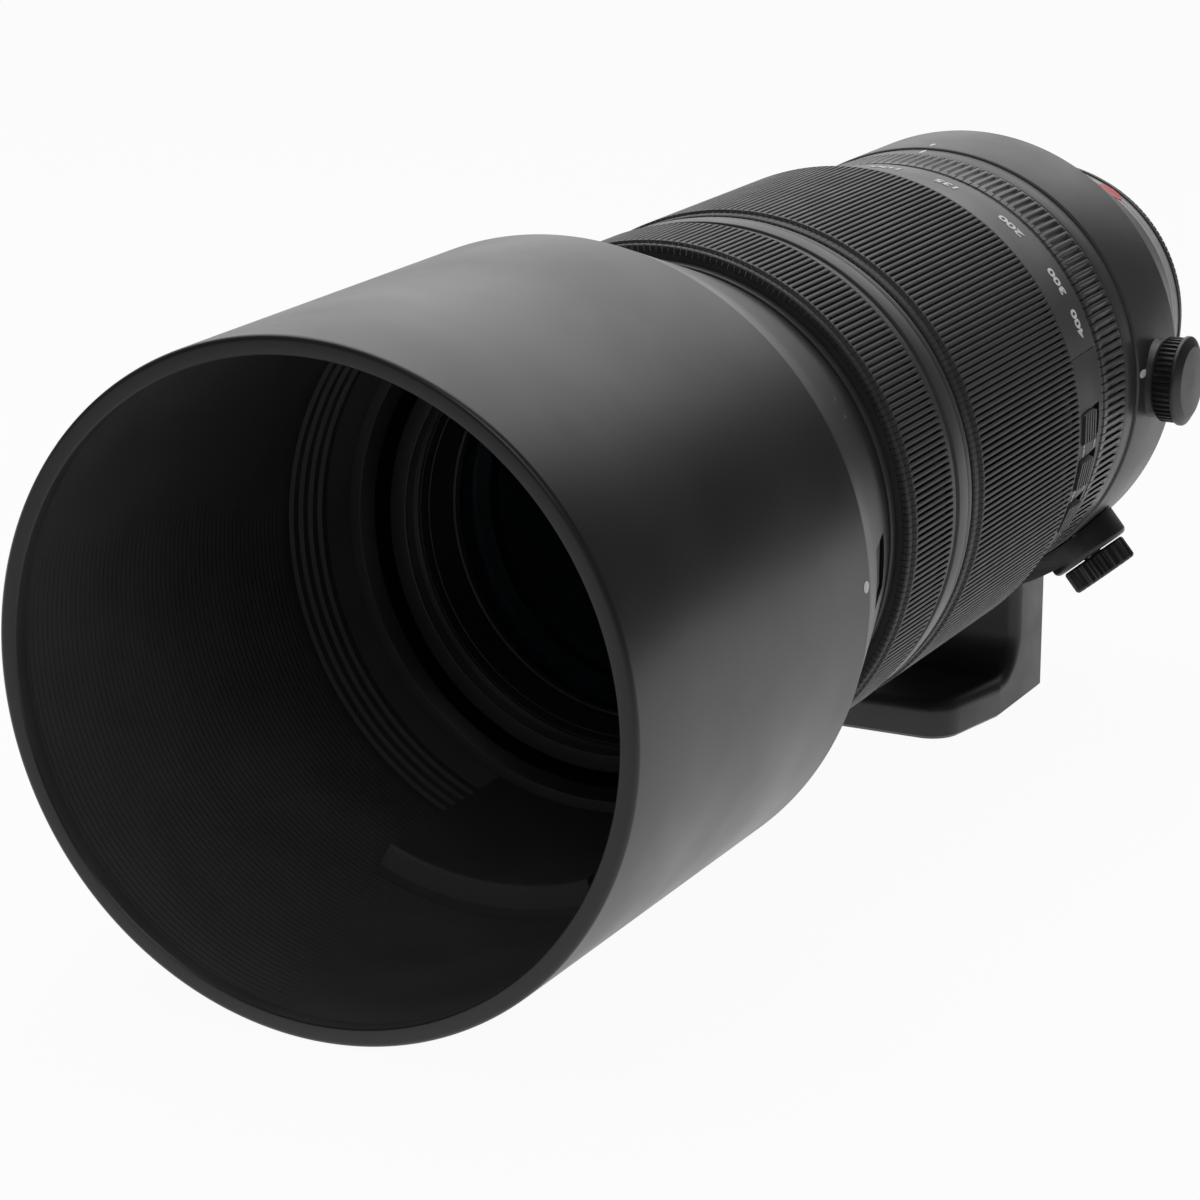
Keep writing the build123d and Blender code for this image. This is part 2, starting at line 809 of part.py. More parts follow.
# Rear barrel: the fixed rear band and the seat that the tripod collar turns on
rear_barrel_front_y = rear_band_front_y + running_gap
rear_barrel_rear_y = collar_rear_y + running_gap
with BuildPart() as rear_barrel:
    with BuildSketch():
        with BuildLine():
            Polyline(
                (guide_radius + seat_gap, rear_barrel_front_y),
                (rear_band_radius, rear_barrel_front_y),
                (rear_band_radius, collar_front_y - running_gap),
                (collar_seat_radius, collar_front_y - running_gap),
                (collar_seat_radius, rear_barrel_rear_y),
                (rear_barrel_bore_radius, rear_barrel_rear_y),
                (rear_barrel_bore_radius, barrel_flange_rear_y + seat_gap),
                (guide_radius + seat_gap, barrel_flange_rear_y + seat_gap),
                close=True,
            )
        make_face()
    revolve(axis=Axis.Y)
rear_barrel.part.label = "rear_barrel"
export_step(rear_barrel.part, "parts/rear_barrel.step")

# Rear cover: the tapered casing behind the collar, with a spigot and the flange for the mount
cover_front_y = rear_barrel_rear_y + seat_gap
mount_back_y = mount_face_y - mount_ring_thickness
cover_rear_y = mount_back_y - seat_gap
with BuildPart() as rear_cover:
    with BuildSketch():
        with BuildLine():
            Polyline(
                (rear_barrel_bore_radius - seat_gap, cover_front_y - spigot_length),
                (rear_barrel_bore_radius - seat_gap, cover_front_y),
                (rear_cover_collar_radius, cover_front_y),
                (rear_cover_waist_radius, -rear_cover_waist_length),
                (rear_cover_mount_radius, -rear_cover_neck_length),
                (rear_cover_mount_radius, cover_rear_y),
                (rear_flange_bore_radius, cover_rear_y),
                (rear_flange_bore_radius, cover_rear_y - rear_flange_thickness),
                (
                    rear_cover_mount_radius - rear_cover_wall,
                    cover_rear_y - rear_flange_thickness,
                ),
                (rear_cover_mount_radius - rear_cover_wall, -rear_cover_neck_length),
                (rear_cover_waist_radius - rear_cover_wall, -rear_cover_waist_length),
                (rear_barrel_bore_radius - rear_cover_wall, cover_front_y),
                (rear_barrel_bore_radius - rear_cover_wall, cover_front_y - spigot_length),
                close=True,
            )
        make_face()
    revolve(axis=Axis.Y)
    with BuildSketch(face_at(mount_face_y)):
        with PolarLocations(mount_screw_reach, mount_screw_count, screw_start):
            Circle(screw_radius + seat_gap)
    extrude(amount=screw_length + overrun, mode=Mode.SUBTRACT)
rear_cover.part.label = "rear_cover"
export_step(rear_cover.part, "parts/rear_cover.step")

# Mount ring: flange, bayonet tube and three lugs, with four countersunk screws
with BuildPart() as mount_ring:
    with BuildSketch():
        with BuildLine():
            Polyline(
                (mount_bore_radius, mount_back_y),
                (mount_ring_radius, mount_back_y),
                (mount_ring_radius, mount_face_y),
                (mount_tube_radius, mount_face_y),
                (mount_tube_radius, mount_tube_length),
                (mount_bore_radius, mount_tube_length),
                close=True,
            )
        make_face()
    revolve(axis=Axis.Y)
    for angle in spread(mount_lug_count, index_clock - mount_lug_angle / 2):
        with BuildSketch(section_at(angle)):
            with BuildLine():
                Polyline(
                    *wall(
                        (mount_bore_radius + mount_tube_radius) / 2,
                        mount_lug_radius,
                        mount_lug_front + mount_lug_width,
                        mount_lug_front,
                    ),
                    close=True,
                )
            make_face()
        revolve(axis=Axis.Y, revolution_arc=mount_lug_angle)
    with BuildSketch(face_at(mount_face_y + overrun)):
        with PolarLocations(mount_screw_reach, mount_screw_count, screw_start):
            Circle(screw_radius + seat_gap)
    extrude(amount=mount_ring_thickness + 2 * overrun, mode=Mode.SUBTRACT)
    with BuildSketch(face_at(mount_face_y + overrun)):
        with PolarLocations(mount_screw_reach, mount_screw_count, screw_start):
            Circle(screw_head_radius + seat_gap)
    extrude(amount=screw_head_height + overrun, mode=Mode.SUBTRACT)
mount_ring.part.label = "mount_ring"
export_step(mount_ring.part, "parts/mount_ring.step")

with BuildPart() as mount_screws:
    with BuildSketch(face_at(mount_face_y - seat_gap)):
        with PolarLocations(mount_screw_reach, mount_screw_count, screw_start):
            Circle(screw_head_radius)
    extrude(amount=screw_head_height - seat_gap)
    with BuildSketch(face_at(mount_face_y - screw_head_height)):
        with PolarLocations(mount_screw_reach, mount_screw_count, screw_start):
            Circle(screw_radius)
    extrude(amount=screw_length - screw_head_height)
    with BuildSketch(face_at(mount_face_y - seat_gap)):
        with PolarLocations(mount_screw_reach, mount_screw_count, screw_start):
            Rectangle(screw_head_radius, screw_slot)
            Rectangle(screw_slot, screw_head_radius)
    extrude(amount=screw_head_height / 2, mode=Mode.SUBTRACT)
mount_screws.part.label = "mount_screws"
export_step(mount_screws.part, "parts/mount_screws.step")

# Mount gasket: the rubber lip round the mount ring
with BuildPart() as mount_gasket:
    with BuildSketch():
        with BuildLine():
            Polyline(
                (mount_ring_radius + seat_gap, mount_back_y),
                (mount_ring_radius + gasket_width, mount_back_y),
                (mount_ring_radius + gasket_width, mount_face_y),
                (mount_ring_radius + gasket_width / 2, mount_face_y + gasket_height),
                (mount_ring_radius + seat_gap, mount_face_y),
                close=True,
            )
        make_face()
    revolve(axis=Axis.Y)
mount_gasket.part.label = "mount_gasket"
export_step(mount_gasket.part, "parts/mount_gasket.step")

# Inner tube: carries the iris, the stabiliser, the rear glass and the focus rods
inner_tube_rear_y = -inner_tube_rear_length
inner_tube_front_y = number_front_y - inner_tube_front_setback
with BuildPart() as inner_tube:
    with BuildSketch():
        with BuildLine():
            Polyline(
                (inner_tube_bore_radius, inner_tube_rear_y),
                (inner_tube_radius, inner_tube_rear_y),
                (inner_tube_radius, inner_tube_front_y),
                (inner_tube_mouth_radius, inner_tube_front_y),
                (inner_tube_mouth_radius, inner_tube_front_y + inner_tube_mouth_width),
                (inner_tube_bore_radius, inner_tube_front_y + inner_tube_mouth_width),
                close=True,
            )
        make_face()
    revolve(axis=Axis.Y)
    with BuildSketch(face_at(inner_tube_front_y + inner_tube_mouth_width + overrun)):
        with PolarLocations(rod_reach, 2, quarter_turn - rod_clock):
            Circle(rod_radius + pin_gap)
    extrude(amount=inner_tube_mouth_width + 2 * overrun, mode=Mode.SUBTRACT)
inner_tube.part.label = "inner_tube"
export_step(inner_tube.part, "parts/inner_tube.step")

# Iris: a split housing with nine thin blades lying open in its chamber, each in its own plane
iris_front_y = inner_tube_front_y + iris_front_setback
iris_rear_y = iris_front_y + iris_width
iris_middle_y = (iris_front_y + iris_rear_y) / 2
with BuildPart() as iris_housing:
    with BuildSketch():
        with BuildLine():
            Polyline(
                (iris_bore_radius, iris_front_y),
                (iris_bore_radius, iris_middle_y - iris_chamber_width / 2),
                (iris_chamber_radius, iris_middle_y - iris_chamber_width / 2),
                (iris_chamber_radius, iris_middle_y + iris_chamber_width / 2),
                (iris_bore_radius, iris_middle_y + iris_chamber_width / 2),
                (iris_bore_radius, iris_rear_y),
                (cell_radius, iris_rear_y),
                (cell_radius, iris_front_y),
                close=True,
            )
        make_face()
    revolve(axis=Axis.Y)
    with BuildSketch(face_at(iris_front_y + rod_socket_depth)):
        with PolarLocations(rod_reach, 2, quarter_turn - rod_clock):
            Circle(rod_radius + pin_gap)
    extrude(amount=rod_socket_depth + overrun, mode=Mode.SUBTRACT)
iris_housing.part.label = "iris_housing"
export_step(iris_housing.part, "parts/iris_housing.step")

blade_first_y = iris_middle_y - blade_pitch * (blade_count - 1) / 2
with BuildPart() as iris_blades:
    for i, angle in enumerate(spread(blade_count)):
        blade_y = blade_first_y + i * blade_pitch
        with BuildSketch(section_at(angle)):
            with BuildLine():
                Polyline(
                    *wall(
                        blade_inner_radius,
                        blade_outer_radius,
                        blade_y + blade_thickness / 2,
                        blade_y - blade_thickness / 2,
                    ),
                    close=True,
                )
            make_face()
        revolve(axis=Axis.Y, revolution_arc=blade_angle)
iris_blades.part.label = "iris_blades"
export_step(iris_blades.part, "parts/iris_blades.step")

# Guide rods: two steel rods from the tube's mouth into the iris housing
with BuildPart() as guide_rods:
    with BuildSketch(face_at(iris_front_y + rod_socket_depth - seat_gap)):
        with PolarLocations(rod_reach, 2, quarter_turn - rod_clock):
            Circle(rod_radius)
    extrude(amount=iris_front_y + rod_socket_depth - inner_tube_front_y - seat_gap)
guide_rods.part.label = "guide_rods"
export_step(guide_rods.part, "parts/guide_rods.step")

# Focus carriage: a lens ring with two bushes on the rods and two coils beside the magnets
focus_front_rest_y = inner_tube_front_y + focus_carriage_setback
focus_rear_rest_y = focus_front_rest_y + focus_carriage_width
focus_ring_radius = focus_lens_radius + focus_carriage_wall
with BuildPart() as focus_carriage:
    with BuildSketch():
        with BuildLine():
            Polyline(
                *wall(
                    focus_lens_radius + seat_gap,
                    focus_ring_radius,
                    focus_rear_rest_y,
                    focus_front_rest_y,
                ),
                close=True,
            )
        make_face()
    revolve(axis=Axis.Y)
    for angle in spread(2, magnet_clock - coil_angle / 2):
        with BuildSketch(section_at(angle)):
            with BuildLine():
                Polyline(
                    *wall(
                        focus_ring_radius - focus_carriage_wall / 2,
                        coil_radius,
                        focus_rear_rest_y,
                        focus_front_rest_y,
                    ),
                    close=True,
                )
            make_face()
        revolve(axis=Axis.Y, revolution_arc=coil_angle)
    with BuildSketch(face_at(focus_rear_rest_y)):
        with PolarLocations(rod_reach, 2, quarter_turn - rod_clock):
            Circle(focus_bush_radius)
        with PolarLocations(rod_reach - focus_bush_radius, 2, quarter_turn - rod_clock):
            Rectangle(2 * focus_bush_radius, 2 * focus_bush_radius)
    extrude(amount=focus_carriage_width)
    with BuildSketch():
        with BuildLine():
            Polyline(
                *wall(
                    0,
                    focus_lens_radius + seat_gap,
                    focus_rear_rest_y,
                    focus_front_rest_y,
                ),
                close=True,
            )
        make_face()
    revolve(axis=Axis.Y, mode=Mode.SUBTRACT)
    with BuildSketch(face_at(focus_rear_rest_y + overrun)):
        with PolarLocations(rod_reach, 2, quarter_turn - rod_clock):
            Circle(rod_radius + pin_gap)
    extrude(amount=focus_carriage_width + 2 * overrun, mode=Mode.SUBTRACT)
focus_carriage.part.label = "focus_carriage"
export_step(focus_carriage.part, "parts/focus_carriage.step")

# Motor magnets: two curved magnets on the inner tube's wall, facing the coils
with BuildPart() as motor_magnets:
    for angle in spread(2, magnet_clock - magnet_angle / 2):
        with BuildSketch(section_at(angle)):
            with BuildLine():
                Polyline(
                    *wall(
                        magnet_bore_radius,
                        cell_radius,
                        iris_front_y - seat_gap,
                        inner_tube_front_y + inner_tube_mouth_width + seat_gap,
                    ),
                    close=True,
                )
            make_face()
        revolve(axis=Axis.Y, revolution_arc=magnet_angle)
motor_magnets.part.label = "motor_magnets"
export_step(motor_magnets.part, "parts/motor_magnets.step")

# Focus lens
focus_lens_inset = (focus_carriage_width - focus_lens_edge) / 2
focus_lens_points = lens_points(
    focus_lens_radius,
    focus_front_rest_y + focus_lens_inset,
    focus_rear_rest_y - focus_lens_inset,
    focus_lens_front_sag,
    focus_lens_rear_sag,
)
with BuildPart() as focus_lens:
    with BuildSketch():
        with BuildLine():
            ThreePointArc(*focus_lens_points[:3])
            Line(focus_lens_points[2], focus_lens_points[3])
            ThreePointArc(*focus_lens_points[3:])
            Line(focus_lens_points[5], focus_lens_points[0])
        make_face()
    revolve(axis=Axis.Y)
focus_lens.part.label = "focus_lens"
export_step(focus_lens.part, "parts/focus_lens.step")

# Stabiliser base: a fixed ring plate with two cross rails for the yaw frame
base_front_y = inner_tube_front_y + stabiliser_base_setback
base_rear_y = base_front_y + stabiliser_base_width
with BuildPart() as stabiliser_base:
    with BuildSketch(face_at(base_rear_y)):
        Circle(cell_radius)
        Circle(stabiliser_bore_radius, mode=Mode.SUBTRACT)
    extrude(amount=stabiliser_base_width)
    with BuildSketch(face_at(base_front_y)):
        with GridLocations(0, 2 * frame_rail_offset, 1, 2):
            Rectangle(2 * frame_rail_half_length, frame_rail_width)
    extrude(amount=frame_rail_height)
stabiliser_base.part.label = "stabiliser_base"
export_step(stabiliser_base.part, "parts/stabiliser_base.step")

# Yaw frame: slides sideways on the base and carries two upright rails
yaw_rear_y = base_front_y - running_gap
yaw_front_y = yaw_rear_y - frame_width
with BuildPart() as yaw_frame:
    with BuildSketch(face_at(yaw_rear_y)):
        Circle(frame_radius)
        Circle(stabiliser_bore_radius, mode=Mode.SUBTRACT)
    extrude(amount=frame_width)
    with BuildSketch(face_at(yaw_rear_y)):
        with GridLocations(0, 2 * frame_rail_offset, 1, 2):
            Rectangle(2 * frame_radius, frame_rail_width + 2 * frame_rail_gap)
    extrude(amount=frame_rail_height, mode=Mode.SUBTRACT)
    with BuildSketch(face_at(yaw_front_y)):
        with GridLocations(2 * frame_rail_offset, 0, 2, 1):
            Rectangle(frame_rail_width, 2 * frame_rail_half_length)
    extrude(amount=frame_rail_height)
yaw_frame.part.label = "yaw_frame"
export_step(yaw_frame.part, "parts/yaw_frame.step")

# Pitch frame: slides up and down on the yaw frame and holds the moving lens
pitch_rear_y = yaw_front_y - running_gap
pitch_front_y = pitch_rear_y - frame_width
with BuildPart() as pitch_frame:
    with BuildSketch(face_at(pitch_rear_y)):
        Circle(frame_radius)
        Circle(stabiliser_lens_radius + seat_gap, mode=Mode.SUBTRACT)
    extrude(amount=frame_width)
    with BuildSketch(face_at(pitch_rear_y)):
        with GridLocations(2 * frame_rail_offset, 0, 2, 1):
            Rectangle(frame_rail_width + 2 * frame_rail_gap, 2 * frame_radius)
    extrude(amount=frame_rail_height, mode=Mode.SUBTRACT)
pitch_frame.part.label = "pitch_frame"
export_step(pitch_frame.part, "parts/pitch_frame.step")

stabiliser_lens_points = lens_points(
    stabiliser_lens_radius, pitch_front_y, pitch_rear_y, stabiliser_lens_sag, -stabiliser_lens_sag
)
with BuildPart() as stabiliser_lens:
    with BuildSketch():
        with BuildLine():
            ThreePointArc(*stabiliser_lens_points[:3])
            Line(stabiliser_lens_points[2], stabiliser_lens_points[3])
            ThreePointArc(*stabiliser_lens_points[3:])
            Line(stabiliser_lens_points[5], stabiliser_lens_points[0])
        make_face()
    revolve(axis=Axis.Y)
stabiliser_lens.part.label = "stabiliser_lens"
export_step(stabiliser_lens.part, "parts/stabiliser_lens.step")

# Rear lens cell with its two lenses
rear_cell_rear_y = inner_tube_rear_y - baffle_thickness
rear_cell_front_y = rear_cell_rear_y - rear_cell_width
with BuildPart() as rear_lens_cell:
    with BuildSketch():
        with BuildLine():
            Polyline(
                (rear_cell_bore_radius + seat_gap, rear_cell_front_y),
                (cell_radius, rear_cell_front_y),
                (cell_radius, rear_cell_rear_y),
                (rear_cell_bore_radius + seat_gap, rear_cell_rear_y),
                close=True,
            )
        make_face()
    revolve(axis=Axis.Y)
rear_lens_cell.part.label = "rear_lens_cell"
export_step(rear_lens_cell.part, "parts/rear_lens_cell.step")

with BuildPart() as rear_lenses:
    for front in (
        rear_cell_front_y + rear_lens_gap,
        rear_cell_rear_y - rear_lens_gap - rear_lens_edge,
    ):
        points = lens_points(
            rear_cell_bore_radius, front, front + rear_lens_edge, rear_lens_sag, rear_lens_sag
        )
        with BuildSketch():
            with BuildLine():
                ThreePointArc(*points[:3])
                Line(points[2], points[3])
                ThreePointArc(*points[3:])
                Line(points[5], points[0])
            make_face()
        revolve(axis=Axis.Y)
rear_lenses.part.label = "rear_lenses"
export_step(rear_lenses.part, "parts/rear_lenses.step")

# Rear baffle: a cone from the inner tube to the mount, closed by a plate with a picture-shaped mouth
baffle_front_y = inner_tube_rear_y + seat_gap
baffle_rear_y = -baffle_rear_length
baffle_radius = mount_bore_radius - seat_gap
with BuildPart() as rear_baffle:
    with BuildSketch():
        with BuildLine():
            Polyline(
                (inner_tube_radius - baffle_thickness, baffle_front_y),
                (inner_tube_radius, baffle_front_y),
                (baffle_radius, mount_back_y - rear_flange_thickness),
                (baffle_radius, baffle_rear_y),
                (0, baffle_rear_y),
                (0, baffle_rear_y - baffle_thickness),
                (baffle_radius - baffle_thickness, baffle_rear_y - baffle_thickness),
                close=True,
            )
        make_face()
    revolve(axis=Axis.Y)
    with BuildSketch(face_at(baffle_rear_y + overrun)):
        RectangleRounded(baffle_mouth_width, baffle_mouth_height, baffle_thickness)
    extrude(amount=baffle_thickness + 2 * overrun, mode=Mode.SUBTRACT)
rear_baffle.part.label = "rear_baffle"
export_step(rear_baffle.part, "parts/rear_baffle.step")

# Contact block and its pins
block_front_y = baffle_rear_y + seat_gap
block_bore_radius = baffle_radius - contact_block_height
with BuildPart() as contact_block:
    with BuildSketch(section_at(contact_clock - contact_block_angle / 2)):
        with BuildLine():
            Polyline(
                *wall(block_bore_radius, baffle_radius, contact_block_rear_length, block_front_y),
                close=True,
            )
        make_face()
    revolve(axis=Axis.Y, revolution_arc=contact_block_angle)
    for i in range(contact_count):
        angle = contact_clock + contact_pitch_angle * (i - (contact_count - 1) / 2)
        with BuildSketch(face_at(contact_block_rear_length + overrun)):
            with PolarLocations(contact_reach, 1, quarter_turn - angle):
                Circle(contact_radius + seat_gap)
        extrude(amount=contact_length + overrun, mode=Mode.SUBTRACT)
contact_block.part.label = "contact_block"
export_step(contact_block.part, "parts/contact_block.step")

with BuildPart() as contact_pins:
    for i in range(contact_count):
        angle = contact_clock + contact_pitch_angle * (i - (contact_count - 1) / 2)
        with BuildSketch(face_at(contact_block_rear_length + contact_proud)):
            with PolarLocations(contact_reach, 1, quarter_turn - angle):
                Circle(contact_radius)
        extrude(amount=contact_length + contact_proud - seat_gap)
contact_pins.part.label = "contact_pins"
export_step(contact_pins.part, "parts/contact_pins.step")

# Circuit board: a ring behind the tripod collar, round the inner tube
with BuildPart() as circuit_board:
    with BuildSketch(face_at(inner_tube_rear_y - board_thickness)):
        Circle(inner_tube_radius + board_width)
        Circle(inner_tube_radius + seat_gap, mode=Mode.SUBTRACT)
    extrude(amount=board_thickness)
circuit_board.part.label = "circuit_board"
export_step(circuit_board.part, "parts/circuit_board.step")

# Second group: a cell inside the front tube with three arms that reach out to the cam
second_front_y = second_follower_y - second_cell_width / 2
second_rear_y = second_follower_y + second_cell_width / 2
follower_tip_radius = cam_radius - seat_gap
arm_foot_radius = (second_cell_bore_radius + guide_radius) / 2
with BuildPart() as second_group_cell:
    with BuildSketch():
        with BuildLine():
            Polyline(
                *wall(
                    second_cell_bore_radius + seat_gap,
                    front_tube_bore_radius - running_gap,
                    second_rear_y,
                    second_front_y,
                ),
                close=True,
            )
        make_face()
    revolve(axis=Axis.Y)
    for angle in spread(follower_count, second_follower_clock):
        with BuildSketch(Plane(clock(angle, second_follower_y, arm_foot_radius))):
            Circle(roller_radius)
        extrude(amount=follower_tip_radius - arm_foot_radius)
second_group_cell.part.label = "second_group_cell"
export_step(second_group_cell.part, "parts/second_group_cell.step")

second_lens_inset = (second_cell_width - second_lens_edge) / 2
second_lens_points = lens_points(
    second_cell_bore_radius,
    second_front_y + second_lens_inset,
    second_rear_y - second_lens_inset,
    second_lens_sag,
    second_lens_sag,
)
with BuildPart() as second_group_lens:
    with BuildSketch():
        with BuildLine():
            ThreePointArc(*second_lens_points[:3])
            Line(second_lens_points[2], second_lens_points[3])
            ThreePointArc(*second_lens_points[3:])
            Line(second_lens_points[5], second_lens_points[0])
        make_face()
    revolve(axis=Axis.Y)
second_group_lens.part.label = "second_group_lens"
export_step(second_group_lens.part, "parts/second_group_lens.step")

# Front barrel: the moving tube, the front ring and the nose with its filter thread and hood lugs
front_ring_rear_y = focus_front_y - face_gap
cell_seat_rear_y = rim_y + cell_seat_length
with BuildPart() as front_barrel:
    with BuildSketch():
        with BuildLine():
            Polyline(
                (front_tube_bore_radius, front_tube_rear_y),
                (front_tube_radius, front_tube_rear_y),
                (front_tube_radius, front_ring_rear_y),
                (front_ring_radius - ring_edge, front_ring_rear_y),
                (front_ring_radius, front_ring_rear_y - ring_edge),
                (front_ring_radius, front_ring_front_y + ring_edge),
                (front_ring_radius - ring_edge, front_ring_front_y),
                (nose_radius, front_ring_front_y),
                (nose_radius, rim_y + rim_taper_length),
                (rim_radius, rim_y),
                (filter_bore_radius, rim_y),
                (filter_bore_radius, rim_y + filter_thread_length),
                (cell_seat_radius, rim_y + filter_thread_length),
                (cell_seat_radius, cell_seat_rear_y),
                (front_tube_bore_radius, cell_seat_rear_y),
                close=True,
            )
        make_face()
    revolve(axis=Axis.Y)
    for angle in spread(lug_count):
        with BuildSketch(section_at(angle - lug_angle / 2)):
            with BuildLine():
                Polyline(
                    *wall(
                        nose_radius - ring_edge,
                        nose_lug_radius,
                        nose_lug_y + nose_lug_width,
                        nose_lug_y,
                    ),
                    close=True,
                )
            make_face()
        revolve(axis=Axis.Y, revolution_arc=lug_angle)
    for angle in spread(follower_count, second_follower_clock):
        with BuildSketch(Plane(clock(angle, arm_slot_y, front_tube_bore_radius - overrun))):
            SlotCenterToCenter(arm_slot_length, 2 * slot_half, rotation=90)
        extrude(amount=front_tube_wall + 2 * overrun, mode=Mode.SUBTRACT)
    for angle in spread(follower_count, front_follower_clock):
        with BuildSketch(Plane(clock(angle, front_follower_y, front_tube_bore_radius - overrun))):
            Circle(roller_pin_radius + seat_gap)
        extrude(amount=front_tube_wall + 2 * overrun, mode=Mode.SUBTRACT)
front_barrel.part.label = "front_barrel"
export_step(front_barrel.part, "parts/front_barrel.step")

# Cam rollers: three headed pins in the front tube, with their rollers in the cam's slots
with BuildPart() as cam_rollers:
    for angle in spread(follower_count, front_follower_clock):
        with BuildSketch(Plane(clock(angle, front_follower_y, front_tube_bore_radius))):
            Circle(roller_pin_radius)
        extrude(amount=follower_tip_radius - front_tube_bore_radius)
        with BuildSketch(Plane(clock(angle, front_follower_y, front_tube_radius + seat_gap))):
            Circle(roller_radius)
        extrude(amount=follower_tip_radius - front_tube_radius - seat_gap)
cam_rollers.part.label = "cam_rollers"
export_step(cam_rollers.part, "parts/cam_rollers.step")

# Front glass: retaining ring, front lens, cell and doublet
ring_front_y = rim_y + filter_thread_length + seat_gap
ring_rear_y = ring_front_y + retaining_ring_cone_length + 2 * retaining_ring_step_length
with BuildPart() as retaining_ring:
    with BuildSketch():
        with BuildLine():
            Polyline(
                (cell_seat_radius - seat_gap, ring_rear_y),
                (cell_seat_radius - seat_gap, ring_front_y),
                (retaining_ring_mouth_radius, ring_front_y),
                (retaining_ring_step_radius, ring_front_y + retaining_ring_cone_length),
                (
                    retaining_ring_step_radius,
                    ring_front_y + retaining_ring_cone_length + retaining_ring_step_length,
                ),
                (
                    retaining_ring_bore_radius,
                    ring_front_y + retaining_ring_cone_length + retaining_ring_step_length,
                ),
                (retaining_ring_bore_radius, ring_rear_y),
                close=True,
            )
        make_face()
    revolve(axis=Axis.Y)
retaining_ring.part.label = "retaining_ring"
export_step(retaining_ring.part, "parts/retaining_ring.step")

front_cell_front_y = ring_rear_y + seat_gap
front_cell_rear_y = front_cell_front_y + front_cell_length
front_glass_y = front_cell_front_y + dome(
    front_lens_radius, front_lens_front_sag, retaining_ring_bore_radius
)
front_shoulder_y = front_glass_y + front_lens_edge + seat_gap
front_shoulder_rear_y = front_shoulder_y + front_cell_shoulder_width
with BuildPart() as front_lens_cell:
    with BuildSketch():
        with BuildLine():
            Polyline(
                (front_lens_radius + seat_gap, front_cell_front_y),
                (cell_seat_radius - seat_gap, front_cell_front_y),
                (cell_seat_radius - seat_gap, front_cell_rear_y),
                (doublet_radius + seat_gap, front_cell_rear_y),
                (doublet_radius + seat_gap, front_shoulder_rear_y),
                (front_cell_shoulder_radius, front_shoulder_rear_y),
                (front_cell_shoulder_radius, front_shoulder_y),
                (front_lens_radius + seat_gap, front_shoulder_y),
                close=True,
            )
        make_face()
    revolve(axis=Axis.Y)
front_lens_cell.part.label = "front_lens_cell"
export_step(front_lens_cell.part, "parts/front_lens_cell.step")

front_lens_points = lens_points(
    front_lens_radius,
    front_glass_y,
    front_glass_y + front_lens_edge,
    front_lens_front_sag,
    front_lens_rear_sag,
)
with BuildPart() as front_lens:
    with BuildSketch():
        with BuildLine():
            ThreePointArc(*front_lens_points[:3])
            Line(front_lens_points[2], front_lens_points[3])
            ThreePointArc(*front_lens_points[3:])
            Line(front_lens_points[5], front_lens_points[0])
        make_face()
    revolve(axis=Axis.Y)
front_lens.part.label = "front_lens"
export_step(front_lens.part, "parts/front_lens.step")

doublet_front_y = (
    front_shoulder_rear_y
    + seat_gap
    + dome(doublet_radius, doublet_front_sag, front_cell_shoulder_radius)
)
doublet_points = lens_points(
    doublet_radius,
    doublet_front_y,
    doublet_front_y + doublet_edge,
    doublet_front_sag,
    doublet_rear_sag,
)
with BuildPart() as front_doublet:
    with BuildSketch():
        with BuildLine():
            ThreePointArc(*doublet_points[:3])
            Line(doublet_points[2], doublet_points[3])
            ThreePointArc(*doublet_points[3:])
            Line(doublet_points[5], doublet_points[0])
        make_face()
    revolve(axis=Axis.Y)
front_doublet.part.label = "front_doublet"
export_step(front_doublet.part, "parts/front_doublet.step")

# Front seal: a felt ring in the barrel's front, which the moving tube runs through
with BuildPart() as front_seal:
    with BuildSketch():
        with BuildLine():
            Polyline(
                *wall(front_tube_radius + pin_gap, seal_radius, seal_rear_y, seal_front_y),
                close=True,
            )
        make_face()
    revolve(axis=Axis.Y)
front_seal.part.label = "front_seal"
export_step(front_seal.part, "parts/front_seal.step")

